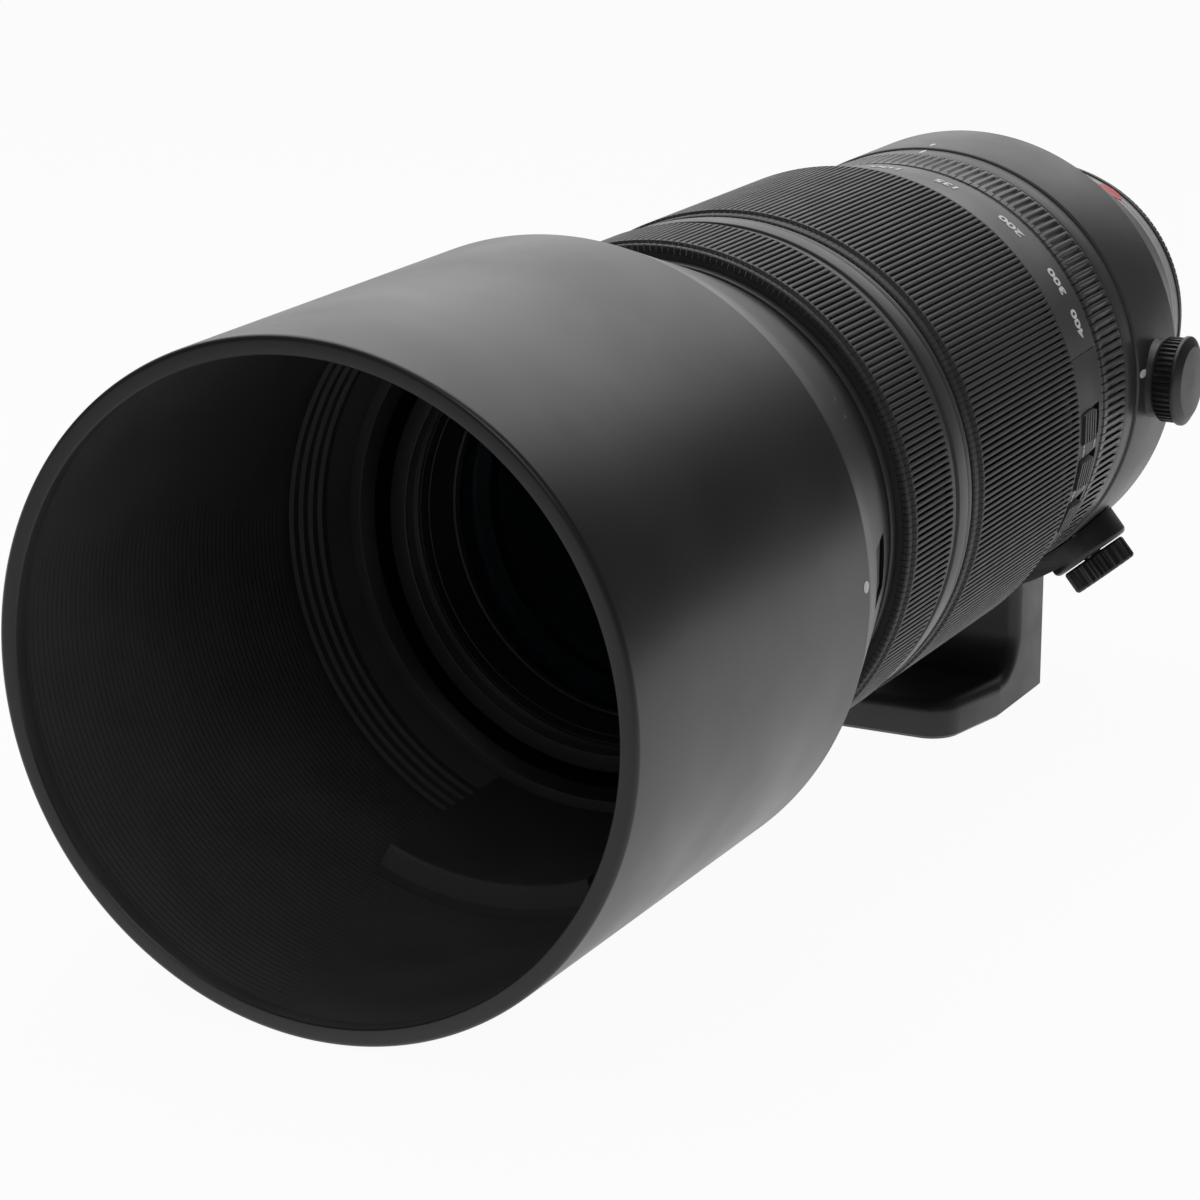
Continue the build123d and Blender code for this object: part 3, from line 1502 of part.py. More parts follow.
# Tripod collar: a ring with the lock knob's boss, two grooves and a keyway for the foot
stud_tip_radius = collar_seat_radius + 2 * seat_gap
keyway_floor_radius = collar_radius - foot_stud_sink - keyway_gap
foot_stud_tip_radius = collar_radius - foot_stud_sink
keyway_front_y = foot_knob_y - foot_stud_radius - keyway_gap
with BuildPart() as tripod_collar:
    with BuildSketch():
        with BuildLine():
            Polyline(
                (collar_bore_radius, collar_rear_y),
                (collar_radius - ring_edge, collar_rear_y),
                (collar_radius, collar_rear_y - ring_edge),
                (collar_radius, collar_front_y + ring_edge),
                (collar_radius - ring_edge, collar_front_y),
                (collar_bore_radius, collar_front_y),
                close=True,
            )
        make_face()
    revolve(axis=Axis.Y)
    with BuildSketch(Plane(clock(quarter_turn, boss_y, (collar_bore_radius + collar_radius) / 2))):
        Circle(boss_radius)
    extrude(amount=boss_reach - (collar_bore_radius + collar_radius) / 2)
    with BuildSketch(Plane(clock(quarter_turn, boss_y, collar_seat_radius))):
        Circle(stud_radius + pin_gap)
    extrude(amount=boss_reach, mode=Mode.SUBTRACT)
    with BuildSketch(face_at(collar_rear_y + overrun)):
        for angle in (half_turn - rail_clock, half_turn + rail_clock):
            with PolarLocations(rail_reach, 1, quarter_turn - angle):
                Circle(rail_radius + running_gap)
    extrude(amount=collar_width + 2 * overrun, mode=Mode.SUBTRACT)
    with BuildSketch(Plane(clock(foot_knob_clock, collar_rear_y, keyway_floor_radius))):
        with Locations((0, keyway_front_y - collar_rear_y)):
            Rectangle(
                2 * (foot_stud_radius + keyway_gap),
                collar_rear_y - keyway_front_y + overrun,
                align=(Align.CENTER, Align.MIN),
            )
    extrude(amount=collar_radius, mode=Mode.SUBTRACT)
tripod_collar.part.label = "tripod_collar"
export_step(tripod_collar.part, "parts/tripod_collar.step")

# Lock stud and lock knob: the knob turns on the stud, whose tip presses the barrel
with BuildPart() as lock_stud:
    with BuildSketch(Plane(clock(quarter_turn, boss_y, stud_tip_radius))):
        Circle(stud_radius)
    extrude(amount=stud_length)
lock_stud.part.label = "lock_stud"
export_step(lock_stud.part, "parts/lock_stud.step")

knob_foot_radius = boss_reach + face_gap
knob_waist_end = knob_foot_radius + knob_waist_length
with BuildPart() as lock_knob:
    with BuildSketch(Plane(clock(quarter_turn, boss_y, knob_foot_radius))):
        Circle(knob_waist_radius)
        with PolarLocations(knob_waist_radius, knob_flute_count):
            Circle(knob_flute_radius, mode=Mode.SUBTRACT)
    extrude(amount=knob_waist_length)
    with BuildSketch(Plane(clock(quarter_turn, boss_y, knob_waist_end))):
        Circle(knob_flange_radius)
    extrude(amount=knob_flange_length)
    fillet(lock_knob.edges().filter_by(GeomType.CIRCLE).sort_by(Axis.X)[-1], knob_edge)
    with BuildSketch(Plane(clock(quarter_turn, boss_y, knob_foot_radius))):
        Circle(stud_radius + pin_gap)
    extrude(
        amount=stud_tip_radius + stud_length + stud_travel + running_gap - knob_foot_radius,
        mode=Mode.SUBTRACT,
    )
lock_knob.part.label = "lock_knob"
export_step(lock_knob.part, "parts/lock_knob.step")

# Tripod foot: a plate and a neck with a round inner corner, and a saddle that ends in two round bosses
with BuildPart() as tripod_foot:
    with BuildSketch(Plane.YZ.offset(-foot_rear_half_width)):
        with BuildLine():
            Polyline(
                (neck_front_y, foot_plate_top_z + neck_fillet),
                (neck_front_y, neck_top_z),
                (foot_rear_y, neck_top_z),
                (foot_rear_y - foot_step, foot_plate_top_z),
                (foot_rear_y, foot_plate_top_z),
                (foot_rear_y, foot_bottom_z),
                (foot_front_y, foot_bottom_z),
                (foot_front_y, foot_plate_top_z),
                (neck_front_y - neck_fillet, foot_plate_top_z),
            )
            RadiusArc(
                (neck_front_y - neck_fillet, foot_plate_top_z),
                (neck_front_y, foot_plate_top_z + neck_fillet),
                -neck_fillet,
            )
        make_face()
    extrude(amount=2 * foot_rear_half_width)
    with BuildSketch(Plane.XY.offset(foot_bottom_z)) as plate:
        Polygon(
            (-foot_front_half_width, foot_front_y),
            (foot_front_half_width, foot_front_y),
            (foot_rear_half_width, foot_waist_y),
            (foot_rear_half_width, foot_rear_y),
            (-foot_rear_half_width, foot_rear_y),
            (-foot_rear_half_width, foot_waist_y),
            align=None,
        )
        fillet(plate.vertices().group_by(Axis.Y)[0], foot_corner_radius)
        fillet(plate.vertices().group_by(Axis.Y)[-1], foot_edge)
    extrude(amount=neck_top_z - foot_bottom_z, mode=Mode.INTERSECT)
    plate_top = tripod_foot.faces().filter_by(Axis.Z).group_by(Axis.Z)[1].sort_by(Axis.Y)[0]
    inner_corner = tripod_foot.faces().sort_by_distance((0, neck_front_y, foot_plate_top_z))[0]
    neck_face = tripod_foot.faces().filter_by(Axis.Y).sort_by(Axis.Y)[1]
    fillet(
        plate_top.edges().sort_by(Axis.Y)[:-1]
        + inner_corner.edges().filter_by(GeomType.CIRCLE)
        + neck_face.edges().filter_by(Axis.Z),
        foot_soft_edge,
    )
    chamfer(tripod_foot.edges().group_by(Axis.Z)[0], foot_edge / 2)
    with BuildSketch(section_at(foot_knob_clock)):
        with BuildLine():
            Polyline(
                *wall(saddle_bore_radius, saddle_radius, foot_rear_y, saddle_front_y), close=True
            )
        make_face()
    revolve(axis=Axis.Y, revolution_arc=full_turn - 2 * foot_knob_clock)
    for angle in (foot_knob_clock, full_turn - foot_knob_clock):
        with BuildSketch(Plane(clock(angle, foot_knob_y, inner_tube_radius))):
            Circle(foot_boss_radius)
        extrude(amount=foot_knob_seat_radius - inner_tube_radius)
        fillet(
            tripod_foot.edges()
            .filter_by(GeomType.CIRCLE)
            .sort_by_distance(Plane(clock(angle, foot_knob_y, foot_knob_seat_radius)).origin)[0],
            foot_boss_edge,
        )
    with BuildSketch(face_at(collar_rear_y + overrun)):
        Circle(saddle_bore_radius)
    extrude(amount=collar_width + 2 * overrun, mode=Mode.SUBTRACT)
    with BuildSketch(face_at(foot_rear_y)):
        for angle in (half_turn - rail_clock, half_turn + rail_clock):
            with PolarLocations(rail_reach, 1, quarter_turn - angle):
                Circle(rail_radius)
    extrude(amount=foot_rear_y - saddle_front_y)
    with BuildSketch(Plane(clock(foot_knob_clock, foot_knob_y, inner_tube_radius))):
        Circle(foot_stud_radius + pin_gap)
    extrude(amount=foot_knob_seat_radius, mode=Mode.SUBTRACT)
    with BuildSketch(Plane.XY.offset(foot_bottom_z)):
        with Locations((0, insert_y)):
            Circle(insert_radius + seat_gap)
    extrude(amount=insert_length + seat_gap, mode=Mode.SUBTRACT)
tripod_foot.part.label = "tripod_foot"
export_step(tripod_foot.part, "parts/tripod_foot.step")

with BuildPart() as thread_insert:
    with BuildSketch(Plane.XY.offset(foot_bottom_z)):
        with Locations((0, insert_y)):
            Circle(insert_radius)
            Circle(insert_bore_radius, mode=Mode.SUBTRACT)
    extrude(amount=insert_length)
thread_insert.part.label = "thread_insert"
export_step(thread_insert.part, "parts/thread_insert.step")

with BuildPart() as foot_stud:
    with BuildSketch(Plane(clock(foot_knob_clock, foot_knob_y, foot_stud_tip_radius))):
        Circle(foot_stud_radius)
    extrude(amount=foot_stud_length)
foot_stud.part.label = "foot_stud"
export_step(foot_stud.part, "parts/foot_stud.step")

foot_knob_foot_radius = foot_knob_seat_radius + face_gap
with BuildPart() as foot_knob:
    with BuildSketch(Plane(clock(foot_knob_clock, foot_knob_y, foot_knob_foot_radius))):
        Circle(foot_knob_radius)
        with PolarLocations(foot_knob_radius, foot_knob_flute_count):
            Circle(foot_knob_flute_radius, mode=Mode.SUBTRACT)
    extrude(amount=foot_knob_length)
    with BuildSketch(Plane(clock(foot_knob_clock, foot_knob_y, foot_knob_foot_radius))):
        Circle(foot_stud_radius + pin_gap)
    extrude(
        amount=foot_stud_tip_radius
        + foot_stud_length
        + foot_stud_travel
        + running_gap
        - foot_knob_foot_radius,
        mode=Mode.SUBTRACT,
    )
foot_knob.part.label = "foot_knob"
export_step(foot_knob.part, "parts/foot_knob.step")

# Hood: a straight mouth on a taper, with a stepped inside, a window at the bottom and a button recess
button_front_y = button_y - button_length / 2
button_rear_y = button_y + button_length / 2
window_rear_y = hood_annulus_y
window_front_y = window_rear_y - window_length
cover_bore_radius = window_cover_bore_radius - running_gap
cover_space_radius = window_cover_bore_radius + window_cover_thickness + running_gap
pocket_radius = cover_bore_radius - pocket_skin
pocket_front_y = hood_rear_y - pocket_front_length
pocket_start_y = window_front_y
pocket_wall_angle = degrees(pocket_skin / window_cover_bore_radius)
hood_lug_front_y = nose_lug_y + nose_lug_width + running_gap
with BuildPart() as hood:
    with BuildSketch():
        with BuildLine():
            Polyline(
                (hood_rear_bore_radius, hood_rear_y),
                (hood_rear_radius, hood_rear_y),
                (hood_radius, hood_taper_y),
                (hood_radius, hood_mouth_y + hood_mouth_edge),
                (hood_radius - hood_mouth_edge / 2, hood_mouth_y),
                (hood_lip_radius + hood_mouth_edge / 2, hood_mouth_y),
                (hood_lip_radius, hood_mouth_y + hood_mouth_edge),
                (hood_lip_radius, hood_mouth_y + hood_lip_length),
                (hood_bore_radius, hood_mouth_y + hood_lip_length + hood_lip_slope),
                (hood_bore_radius, hood_taper_y),
                (hood_annulus_radius, hood_band_y),
                (hood_annulus_radius, hood_annulus_y),
                (hood_annulus_bore_radius, hood_annulus_y),
                (hood_rear_bore_radius, hood_annulus_y + hood_annulus_bore_radius - hood_rear_bore_radius),
                close=True,
            )
        make_face()
    revolve(axis=Axis.Y)
    for first, arc, inner, outer, rear, front, kind in (
        (
            half_turn - pocket_half_angle,
            2 * pocket_half_angle,
            cover_bore_radius,
            cover_space_radius,
            window_rear_y,
            pocket_front_y,
            Mode.SUBTRACT,
        ),
        (
            half_turn - window_half_angle,
            2 * window_half_angle,
            cover_bore_radius,
            hood_radius + overrun,
            window_rear_y,
            window_front_y,
            Mode.SUBTRACT,
        ),
        (
            half_turn - pocket_half_angle,
            2 * pocket_half_angle,
            pocket_radius,
            cover_bore_radius,
            pocket_start_y,
            pocket_front_y,
            Mode.ADD,
        ),
        (
            half_turn - pocket_half_angle,
            2 * pocket_half_angle,
            pocket_radius,
            hood_bore_radius + hood_wall / 2,
            pocket_front_y + hood_wall,
            pocket_front_y,
            Mode.ADD,
        ),
        (
            half_turn - pocket_half_angle,
            pocket_wall_angle,
            pocket_radius,
            hood_bore_radius + hood_wall / 2,
            pocket_start_y,
            pocket_front_y,
            Mode.ADD,
        ),
        (
            half_turn + pocket_half_angle - pocket_wall_angle,
            pocket_wall_angle,
            pocket_radius,
            hood_bore_radius + hood_wall / 2,
            pocket_start_y,
            pocket_front_y,
            Mode.ADD,
        ),
    ):
        with BuildSketch(section_at(first)):
            with BuildLine():
                Polyline(*wall(inner, outer, rear, front), close=True)
            make_face()
        revolve(axis=Axis.Y, revolution_arc=arc, mode=kind)
    for angle in spread(lug_count):
        with BuildSketch(section_at(angle - lug_angle / 2)):
            with BuildLine():
                Polyline(
                    *wall(
                        hood_lug_bore_radius,
                        hood_rear_bore_radius + ring_edge,
                        hood_lug_front_y + hood_lug_width,
                        hood_lug_front_y,
                    ),
                    close=True,
                )
            make_face()
        revolve(axis=Axis.Y, revolution_arc=lug_angle)
    with BuildSketch(Plane(clock(button_clock, button_y, button_seat_radius))):
        RectangleRounded(button_width + 2 * face_gap, button_length + 2 * face_gap, 2 * face_gap)
    extrude(amount=hood_radius, mode=Mode.SUBTRACT)
hood.part.label = "hood"
export_step(hood.part, "parts/hood.step")

# Hood button, its leaf spring at pressed length, and the sliding window cover
button_foot_radius = button_seat_radius + button_travel + face_gap
leaf_foot_radius = button_seat_radius + seat_gap
leaf_top_radius = button_seat_radius + leaf_height
button_rear_radius = hood_rear_radius + hood_slope * (hood_rear_y - button_rear_y) - button_sink
button_front_radius = hood_rear_radius + hood_slope * (hood_rear_y - button_front_y) - button_sink
with BuildPart() as hood_button:
    with BuildSketch(Plane(clock(button_clock, button_y, button_foot_radius))):
        RectangleRounded(button_width, button_length, face_gap)
    extrude(amount=hood_radius)
    with BuildSketch(section_at(button_clock - button_arc / 2)):
        with BuildLine():
            Polyline(
                (button_seat_radius - overrun, button_rear_y),
                (button_rear_radius, button_rear_y),
                (button_front_radius, button_front_y),
                (button_seat_radius - overrun, button_front_y),
                close=True,
            )
        make_face()
    revolve(axis=Axis.Y, revolution_arc=button_arc, mode=Mode.INTERSECT)
    with BuildSketch(Plane(clock(button_clock, button_y, button_foot_radius))):
        Circle(leaf_pocket_radius)
    extrude(
        amount=max(leaf_top_radius + button_travel + face_gap - button_foot_radius, face_gap),
        mode=Mode.SUBTRACT,
    )
hood_button.part.label = "hood_button"
export_step(hood_button.part, "parts/hood_button.step")

with BuildPart() as hood_button_spring:
    with BuildSketch(section_at(button_clock)):
        with BuildLine():
            Polyline(
                (leaf_foot_radius, button_y - leaf_half_length),
                (leaf_top_radius, button_y - leaf_crown),
                (leaf_top_radius, button_y + leaf_crown),
                (leaf_foot_radius, button_y + leaf_half_length),
                (leaf_foot_radius, button_y + leaf_half_length - leaf_thickness),
                (leaf_top_radius - leaf_thickness, button_y),
                (leaf_foot_radius, button_y - leaf_half_length + leaf_thickness),
                close=True,
            )
        make_face()
    extrude(amount=leaf_width / 2, both=True)
hood_button_spring.part.label = "hood_button_spring"
export_step(hood_button_spring.part, "parts/hood_button_spring.step")

window_cover_rear_y = window_rear_y - face_gap
with BuildPart() as hood_window:
    with BuildSketch(section_at(half_turn - window_cover_half_angle)):
        with BuildLine():
            Polyline(
                *wall(
                    window_cover_bore_radius,
                    window_cover_bore_radius + window_cover_thickness,
                    window_cover_rear_y,
                    window_cover_rear_y - window_cover_length,
                ),
                close=True,
            )
        make_face()
    revolve(axis=Axis.Y, revolution_arc=2 * window_cover_half_angle)
    for i in range(window_grip_count):
        ridge_y = window_cover_rear_y - window_grip_width * (2 * i + 3)
        with BuildSketch(section_at(half_turn - window_half_angle / 2)):
            with BuildLine():
                Polyline(
                    *wall(
                        window_cover_bore_radius + window_cover_thickness / 2,
                        window_cover_bore_radius + window_cover_thickness + window_grip_height,
                        ridge_y,
                        ridge_y - window_grip_width,
                    ),
                    close=True,
                )
            make_face()
        revolve(axis=Axis.Y, revolution_arc=window_half_angle)
hood_window.part.label = "hood_window"
export_step(hood_window.part, "parts/hood_window.step")

# Rear cap: a dished cap with three lugs that hook behind the mount's lugs
cap_front_y = mount_face_y + cap_gap
cap_rear_y = cap_front_y + cap_length
cap_rim_rear_y = cap_front_y + cap_rim_length
cap_back_radius = cap_radius - cap_back_step
with BuildPart() as rear_cap:
    with BuildSketch():
        with BuildLine():
            Polyline(
                (cap_bore_radius, cap_front_y),
                (cap_radius, cap_front_y),
                (cap_radius, cap_rim_rear_y),
                (cap_back_radius, cap_rim_rear_y),
                (cap_back_radius, cap_rear_y - cap_edge),
                (cap_back_radius - cap_edge, cap_rear_y),
                (0, cap_rear_y),
                (0, cap_rear_y - cap_floor),
                (cap_bore_radius, cap_rear_y - cap_floor),
                close=True,
            )
        make_face()
    revolve(axis=Axis.Y)
    for angle in spread(mount_lug_count, index_clock - mount_lug_angle / 2):
        with BuildSketch(section_at(angle)):
            with BuildLine():
                Polyline(
                    *wall(
                        cap_lug_bore_radius,
                        cap_bore_radius + seat_gap,
                        cap_lug_front + cap_lug_width,
                        cap_lug_front,
                    ),
                    close=True,
                )
            make_face()
        revolve(axis=Axis.Y, revolution_arc=mount_lug_angle)
rear_cap.part.label = "rear_cap"
export_step(rear_cap.part, "parts/rear_cap.step")
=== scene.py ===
from math import asin, cos, degrees, pi, radians, sin, sqrt

import bmesh
import bpy
from mathutils import Matrix, Vector


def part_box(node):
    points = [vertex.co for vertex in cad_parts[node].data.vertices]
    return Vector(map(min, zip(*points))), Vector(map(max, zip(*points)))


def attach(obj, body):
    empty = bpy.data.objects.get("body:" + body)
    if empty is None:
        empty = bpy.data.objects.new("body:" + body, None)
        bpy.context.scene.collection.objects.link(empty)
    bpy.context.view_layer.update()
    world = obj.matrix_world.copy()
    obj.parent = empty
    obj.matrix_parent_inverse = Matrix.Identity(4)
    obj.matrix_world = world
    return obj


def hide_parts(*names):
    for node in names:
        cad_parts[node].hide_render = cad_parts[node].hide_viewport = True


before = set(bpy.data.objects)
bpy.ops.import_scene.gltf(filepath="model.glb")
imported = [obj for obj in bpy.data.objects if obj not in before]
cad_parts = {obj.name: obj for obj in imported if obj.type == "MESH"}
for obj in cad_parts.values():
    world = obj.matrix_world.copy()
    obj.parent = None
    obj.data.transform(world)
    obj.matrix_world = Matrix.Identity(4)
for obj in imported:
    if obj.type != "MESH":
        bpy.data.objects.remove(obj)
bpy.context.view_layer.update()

# Frame: the optical axis is Y, the mount's face lies at y = 0, the front points along -Y and +Z is up.
# Clock angles turn from the top (+Z) towards +X. Profiles are points (radius, place along the axis).
# Sizes here are millimetres and angles are degrees.
mm = 0.001
smooth_angle = 32.0
round_steps = 240
merge_gap = 0.004


def ends(node):
    """Rear and front place of a CAD node along the axis, in millimetres."""
    low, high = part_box(node)
    return high.y / mm, low.y / mm


# Stations along the axis, taken from the frame
zoom_rear, zoom_front = ends("zoom_grip")
focus_rear, focus_front = ends("focus_grip")
middle_rear, middle_front = ends("middle_band")
number_rear, number_front = ends("number_band")
panel_rear, panel_front = ends("switch_panel")
aperture_rear, aperture_front = ends("aperture_ring")
rear_barrel_rear, rear_barrel_front = ends("rear_barrel")
collar_rear, collar_front = ends("tripod_collar")
cover_rear, cover_front = ends("rear_cover")
hood_rear, hood_mouth = ends("hood")
barrel_rear, rim_front = ends("front_barrel")
cap_rear, cap_front = ends("rear_cap")

# Radii of the outside
grip_radius = 47.4
lip_radius = 46.9
grip_bore_radius = 45.65
band_radius = 47.0
bead_radius = 46.7
number_rear_radius = 44.6
number_front_radius = 46.2
aperture_radius = 44.4
rear_band_radius = 44.2
collar_seat_radius = 41.3
collar_bore_radius = 41.6
collar_radius = 44.6
front_ring_radius = 44.6


# Modelling helpers

def deselect_all():
    if bpy.context.object and bpy.context.object.mode != "OBJECT":
        bpy.ops.object.mode_set(mode="OBJECT")
    bpy.ops.object.select_all(action="DESELECT")


def take(*pieces):
    """Select just these objects, the first one active."""
    deselect_all()
    for piece in pieces:
        piece.select_set(True)
    bpy.context.view_layer.objects.active = pieces[0]


def fix_place():
    """Fix the place, turn and scale of the selected pieces in their meshes."""
    bpy.ops.object.transform_apply(location=True, rotation=True, scale=True)


def select_whole():
    bpy.ops.mesh.select_all(action="SELECT")


def at_clock(angle, y, radius):
    """Point at a clock angle, in millimetres."""
    return Vector((radius * sin(radians(angle)), y, radius * cos(radians(angle))))


def clock_of(point):
    """Clock angle of a point, from 0 to 360."""
    return degrees(Vector((0, 1)).angle_signed(Vector((point.x, point.z)))) % 360


def reach_of(point):
    """Distance of a point from the axis, in millimetres."""
    return sqrt(point.x**2 + point.z**2) / mm


def begin(name, points):
    """A chain of edges through points, left in edit mode with its last vertex selected."""
    deselect_all()
    bpy.ops.mesh.primitive_plane_add(size=mm)
    piece = bpy.context.object
    piece.name = name
    bpy.ops.object.mode_set(mode="EDIT")
    bpy.ops.mesh.select_mode(type="VERT")
    select_whole()
    bpy.ops.mesh.merge(type="CENTER")
    bpy.ops.transform.translate(value=Vector(points[0]) * mm)
    for before, after in zip(points, points[1:]):
        step = (Vector(after) - Vector(before)) * mm
        bpy.ops.mesh.extrude_vertices_move(TRANSFORM_OT_translate={"value": step})
    return piece


def choose(kind, test):
    """Select only the vertices or faces whose middle passes a test."""
    bpy.ops.mesh.select_all(action="DESELECT")
    bpy.ops.mesh.select_mode(type=kind)
    mesh = bmesh.from_edit_mesh(bpy.context.object.data)
    for part in mesh.verts if kind == "VERT" else mesh.faces:
        middle = part.co if kind == "VERT" else part.calc_center_median()
        if test(middle):
            part.select_set(True)
    mesh.select_flush_mode()
    bmesh.update_edit_mesh(bpy.context.object.data)


def close_up(smooth=smooth_angle):
    """Merge doubles, point the faces outwards, leave edit mode and shade the round faces smooth."""
    select_whole()
    bpy.ops.mesh.remove_doubles(threshold=merge_gap * mm)
    bpy.ops.mesh.normals_make_consistent(inside=False)
    bpy.ops.object.mode_set(mode="OBJECT")
    bpy.ops.object.shade_smooth_by_angle(angle=radians(smooth))


def fillet(*corners):
    """Profile points with round corners: each corner is (radius, place) or (radius, place, fillet)."""
    points = []
    count = len(corners)
    for i, corner in enumerate(corners):
        here = Vector(corner[:2])
        if len(corner) == 2:
            points.append(here)
            continue
        back = (Vector(corners[i - 1][:2]) - here).normalized()
        on = (Vector(corners[(i + 1) % count][:2]) - here).normalized()
        half = back.angle(on) / 2
        cut = corner[2] * cos(half) / sin(half)
        centre = here + (back + on).normalized() * (corner[2] / sin(half))
        first = here + back * cut - centre
        last = here + on * cut - centre
        steps = 3 if corner[2] < 0.6 else 5
        for k in range(steps + 1):
            mixed = first.lerp(last, k / steps).normalized() * corner[2]
            points.append(centre + mixed)
    return points


def turned(name, profile, sectors=((360.0, round_steps),), first=90.0, closed=True):
    """A piece turned about the lens axis. Sectors are (angle, steps), from the first clock angle on."""
    points = [at_clock(first, p[1], p[0]) for p in profile]
    if closed:
        points.append(points[0])
    piece = begin(name, points)
    select_whole()
    for angle, steps in sectors:
        bpy.ops.mesh.spin(
            steps=steps, angle=radians(angle), center=(0, 0, 0), axis=(0, -1, 0), use_auto_merge=False
        )
    return piece


def close_ends():
    """Close the open ends of a block that was turned over part of a turn."""
    bpy.ops.mesh.select_mode(type="VERT")
    select_whole()
    bpy.ops.mesh.remove_doubles(threshold=merge_gap * mm)
    bpy.ops.mesh.select_mode(type="EDGE")
    bpy.ops.mesh.select_all(action="DESELECT")
    bpy.ops.mesh.select_non_manifold()
    bpy.ops.mesh.fill_holes(sides=0)


def capped(name, profile, first, angle, steps):
    """A turned block over part of a turn, closed at both ends."""
    piece = turned(name, profile, ((angle, steps),), first)
    close_ends()
    return piece


def lathe(name, profile, steps):
    """A piece turned about its own upright axis: profile points are (radius, height)."""
    piece = begin(name, [Vector((p[0], 0, p[1])) for p in profile])
    select_whole()
    bpy.ops.mesh.spin(
        steps=steps, angle=2 * pi, center=(0, 0, 0), axis=(0, 0, 1), use_auto_merge=False
    )
    return piece


def sink(depth_vector):
    """Push the selected faces in or out, leaving walls round them."""
    bpy.ops.mesh.extrude_region_move(TRANSFORM_OT_translate={"value": depth_vector})


def stand(piece, clock, y, radius):
    """Put a piece modelled at the origin on its place, its z outwards, with the place in the mesh."""
    take(piece)
    spot = Matrix.Rotation(radians(clock), 4, "Y") @ Matrix.Translation(Vector((0, y, radius)) * mm)
    piece.matrix_world = spot @ piece.matrix_world
    fix_place()


def wrap(piece, clock, y, radius_at, proud):
    """Bend a flat piece, modelled at the origin with its z outwards, round the lens at a clock angle."""
    take(piece)
    fix_place()
    for corner in piece.data.vertices:
        along = y + corner.co.y / mm
        radius = radius_at(along)
        angle = clock + degrees(corner.co.x / mm / radius)
        corner.co = at_clock(angle, along, radius + corner.co.z / mm + proud) * mm


def stepped_block(name, steps, width, length, height):
    """A block at the origin, cut into steps along its length and left in edit mode."""
    deselect_all()
    bpy.ops.mesh.primitive_grid_add(x_subdivisions=1, y_subdivisions=steps, size=mm)
    block = bpy.context.object
    block.name = name
    block.scale = (width, length, 1)
    fix_place()
    bpy.ops.object.mode_set(mode="EDIT")
    sink((0, 0, height * mm))
    return block


def bevel_modifier(piece, width, segments=2, angle=40.0):
    take(piece)
    bevel = piece.modifiers.new("edges", "BEVEL")
    bevel.width = width * mm
    bevel.segments = segments
    bevel.limit_method = "ANGLE"
    bevel.angle_limit = radians(angle)
    bevel.harden_normals = False
    bpy.ops.object.modifier_apply(modifier=bevel.name)
    bpy.ops.object.shade_smooth_by_angle(angle=radians(smooth_angle))


def join(main, *others):
    take(main, *others)
    bpy.ops.object.join()
    return main


def copy_of(piece, name):
    """A copy with its own mesh."""
    take(piece)
    bpy.ops.object.duplicate()
    twin = bpy.context.object
    twin.name = name
    return twin


def finish(piece, finish_material, body, slot, *nodes):
    """Give a piece its material, its body and the CAD nodes it stands for. The slot is not used."""
    piece.data.materials.clear()
    piece.data.materials.append(finish_material)
    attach(piece, body)
    if nodes:
        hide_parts(*nodes)
    return piece


def plain_ring(name, section, finish_material, body, slot, *nodes):
    """A finished ring turned from a section of corners."""
    piece = turned(name, fillet(*section))
    close_up()
    return finish(piece, finish_material, body, slot, *nodes)


# Materials

def new_material(name, color, roughness, metallic=0.0, specular=0.5):
    material = bpy.data.materials.new(name)
    material.use_nodes = True
    shader = material.node_tree.nodes["Principled BSDF"]
    shader.inputs["Base Color"].default_value = (*color, 1.0)
    shader.inputs["Roughness"].default_value = roughness
    shader.inputs["Metallic"].default_value = metallic
    shader.inputs["Specular IOR Level"].default_value = specular
    return material, material.node_tree, shader


def noise_on(tree, vector, scale, detail=2.0, roughness=0.5):
    noise = tree.nodes.new("ShaderNodeTexNoise")
    noise.inputs["Scale"].default_value = scale
    noise.inputs["Detail"].default_value = detail
    noise.inputs["Roughness"].default_value = roughness
    tree.links.new(vector, noise.inputs["Vector"])
    return noise.outputs["Fac"]


def spread_to(tree, value, low, high, low_in=0.3, high_in=0.7, curve="LINEAR"):
    spread = tree.nodes.new("ShaderNodeMapRange")
    spread.interpolation_type = curve
    spread.inputs["From Min"].default_value = low_in
    spread.inputs["From Max"].default_value = high_in
    spread.inputs["To Min"].default_value = low
    spread.inputs["To Max"].default_value = high
    tree.links.new(value, spread.inputs["Value"])
    return spread.outputs["Result"]


def two_tone(tree, value, dark, light, target):
    mix = tree.nodes.new("ShaderNodeMix")
    mix.data_type = "RGBA"
    mix.inputs["A"].default_value = (*dark, 1.0)
    mix.inputs["B"].default_value = (*light, 1.0)
    tree.links.new(value, mix.inputs["Factor"])
    tree.links.new(mix.outputs["Result"], target)


def bump_from(tree, height, depth, shader):
    bump = tree.nodes.new("ShaderNodeBump")
    bump.inputs["Distance"].default_value = depth * mm
    tree.links.new(height, bump.inputs["Height"])
    tree.links.new(bump.outputs["Normal"], shader.inputs["Normal"])


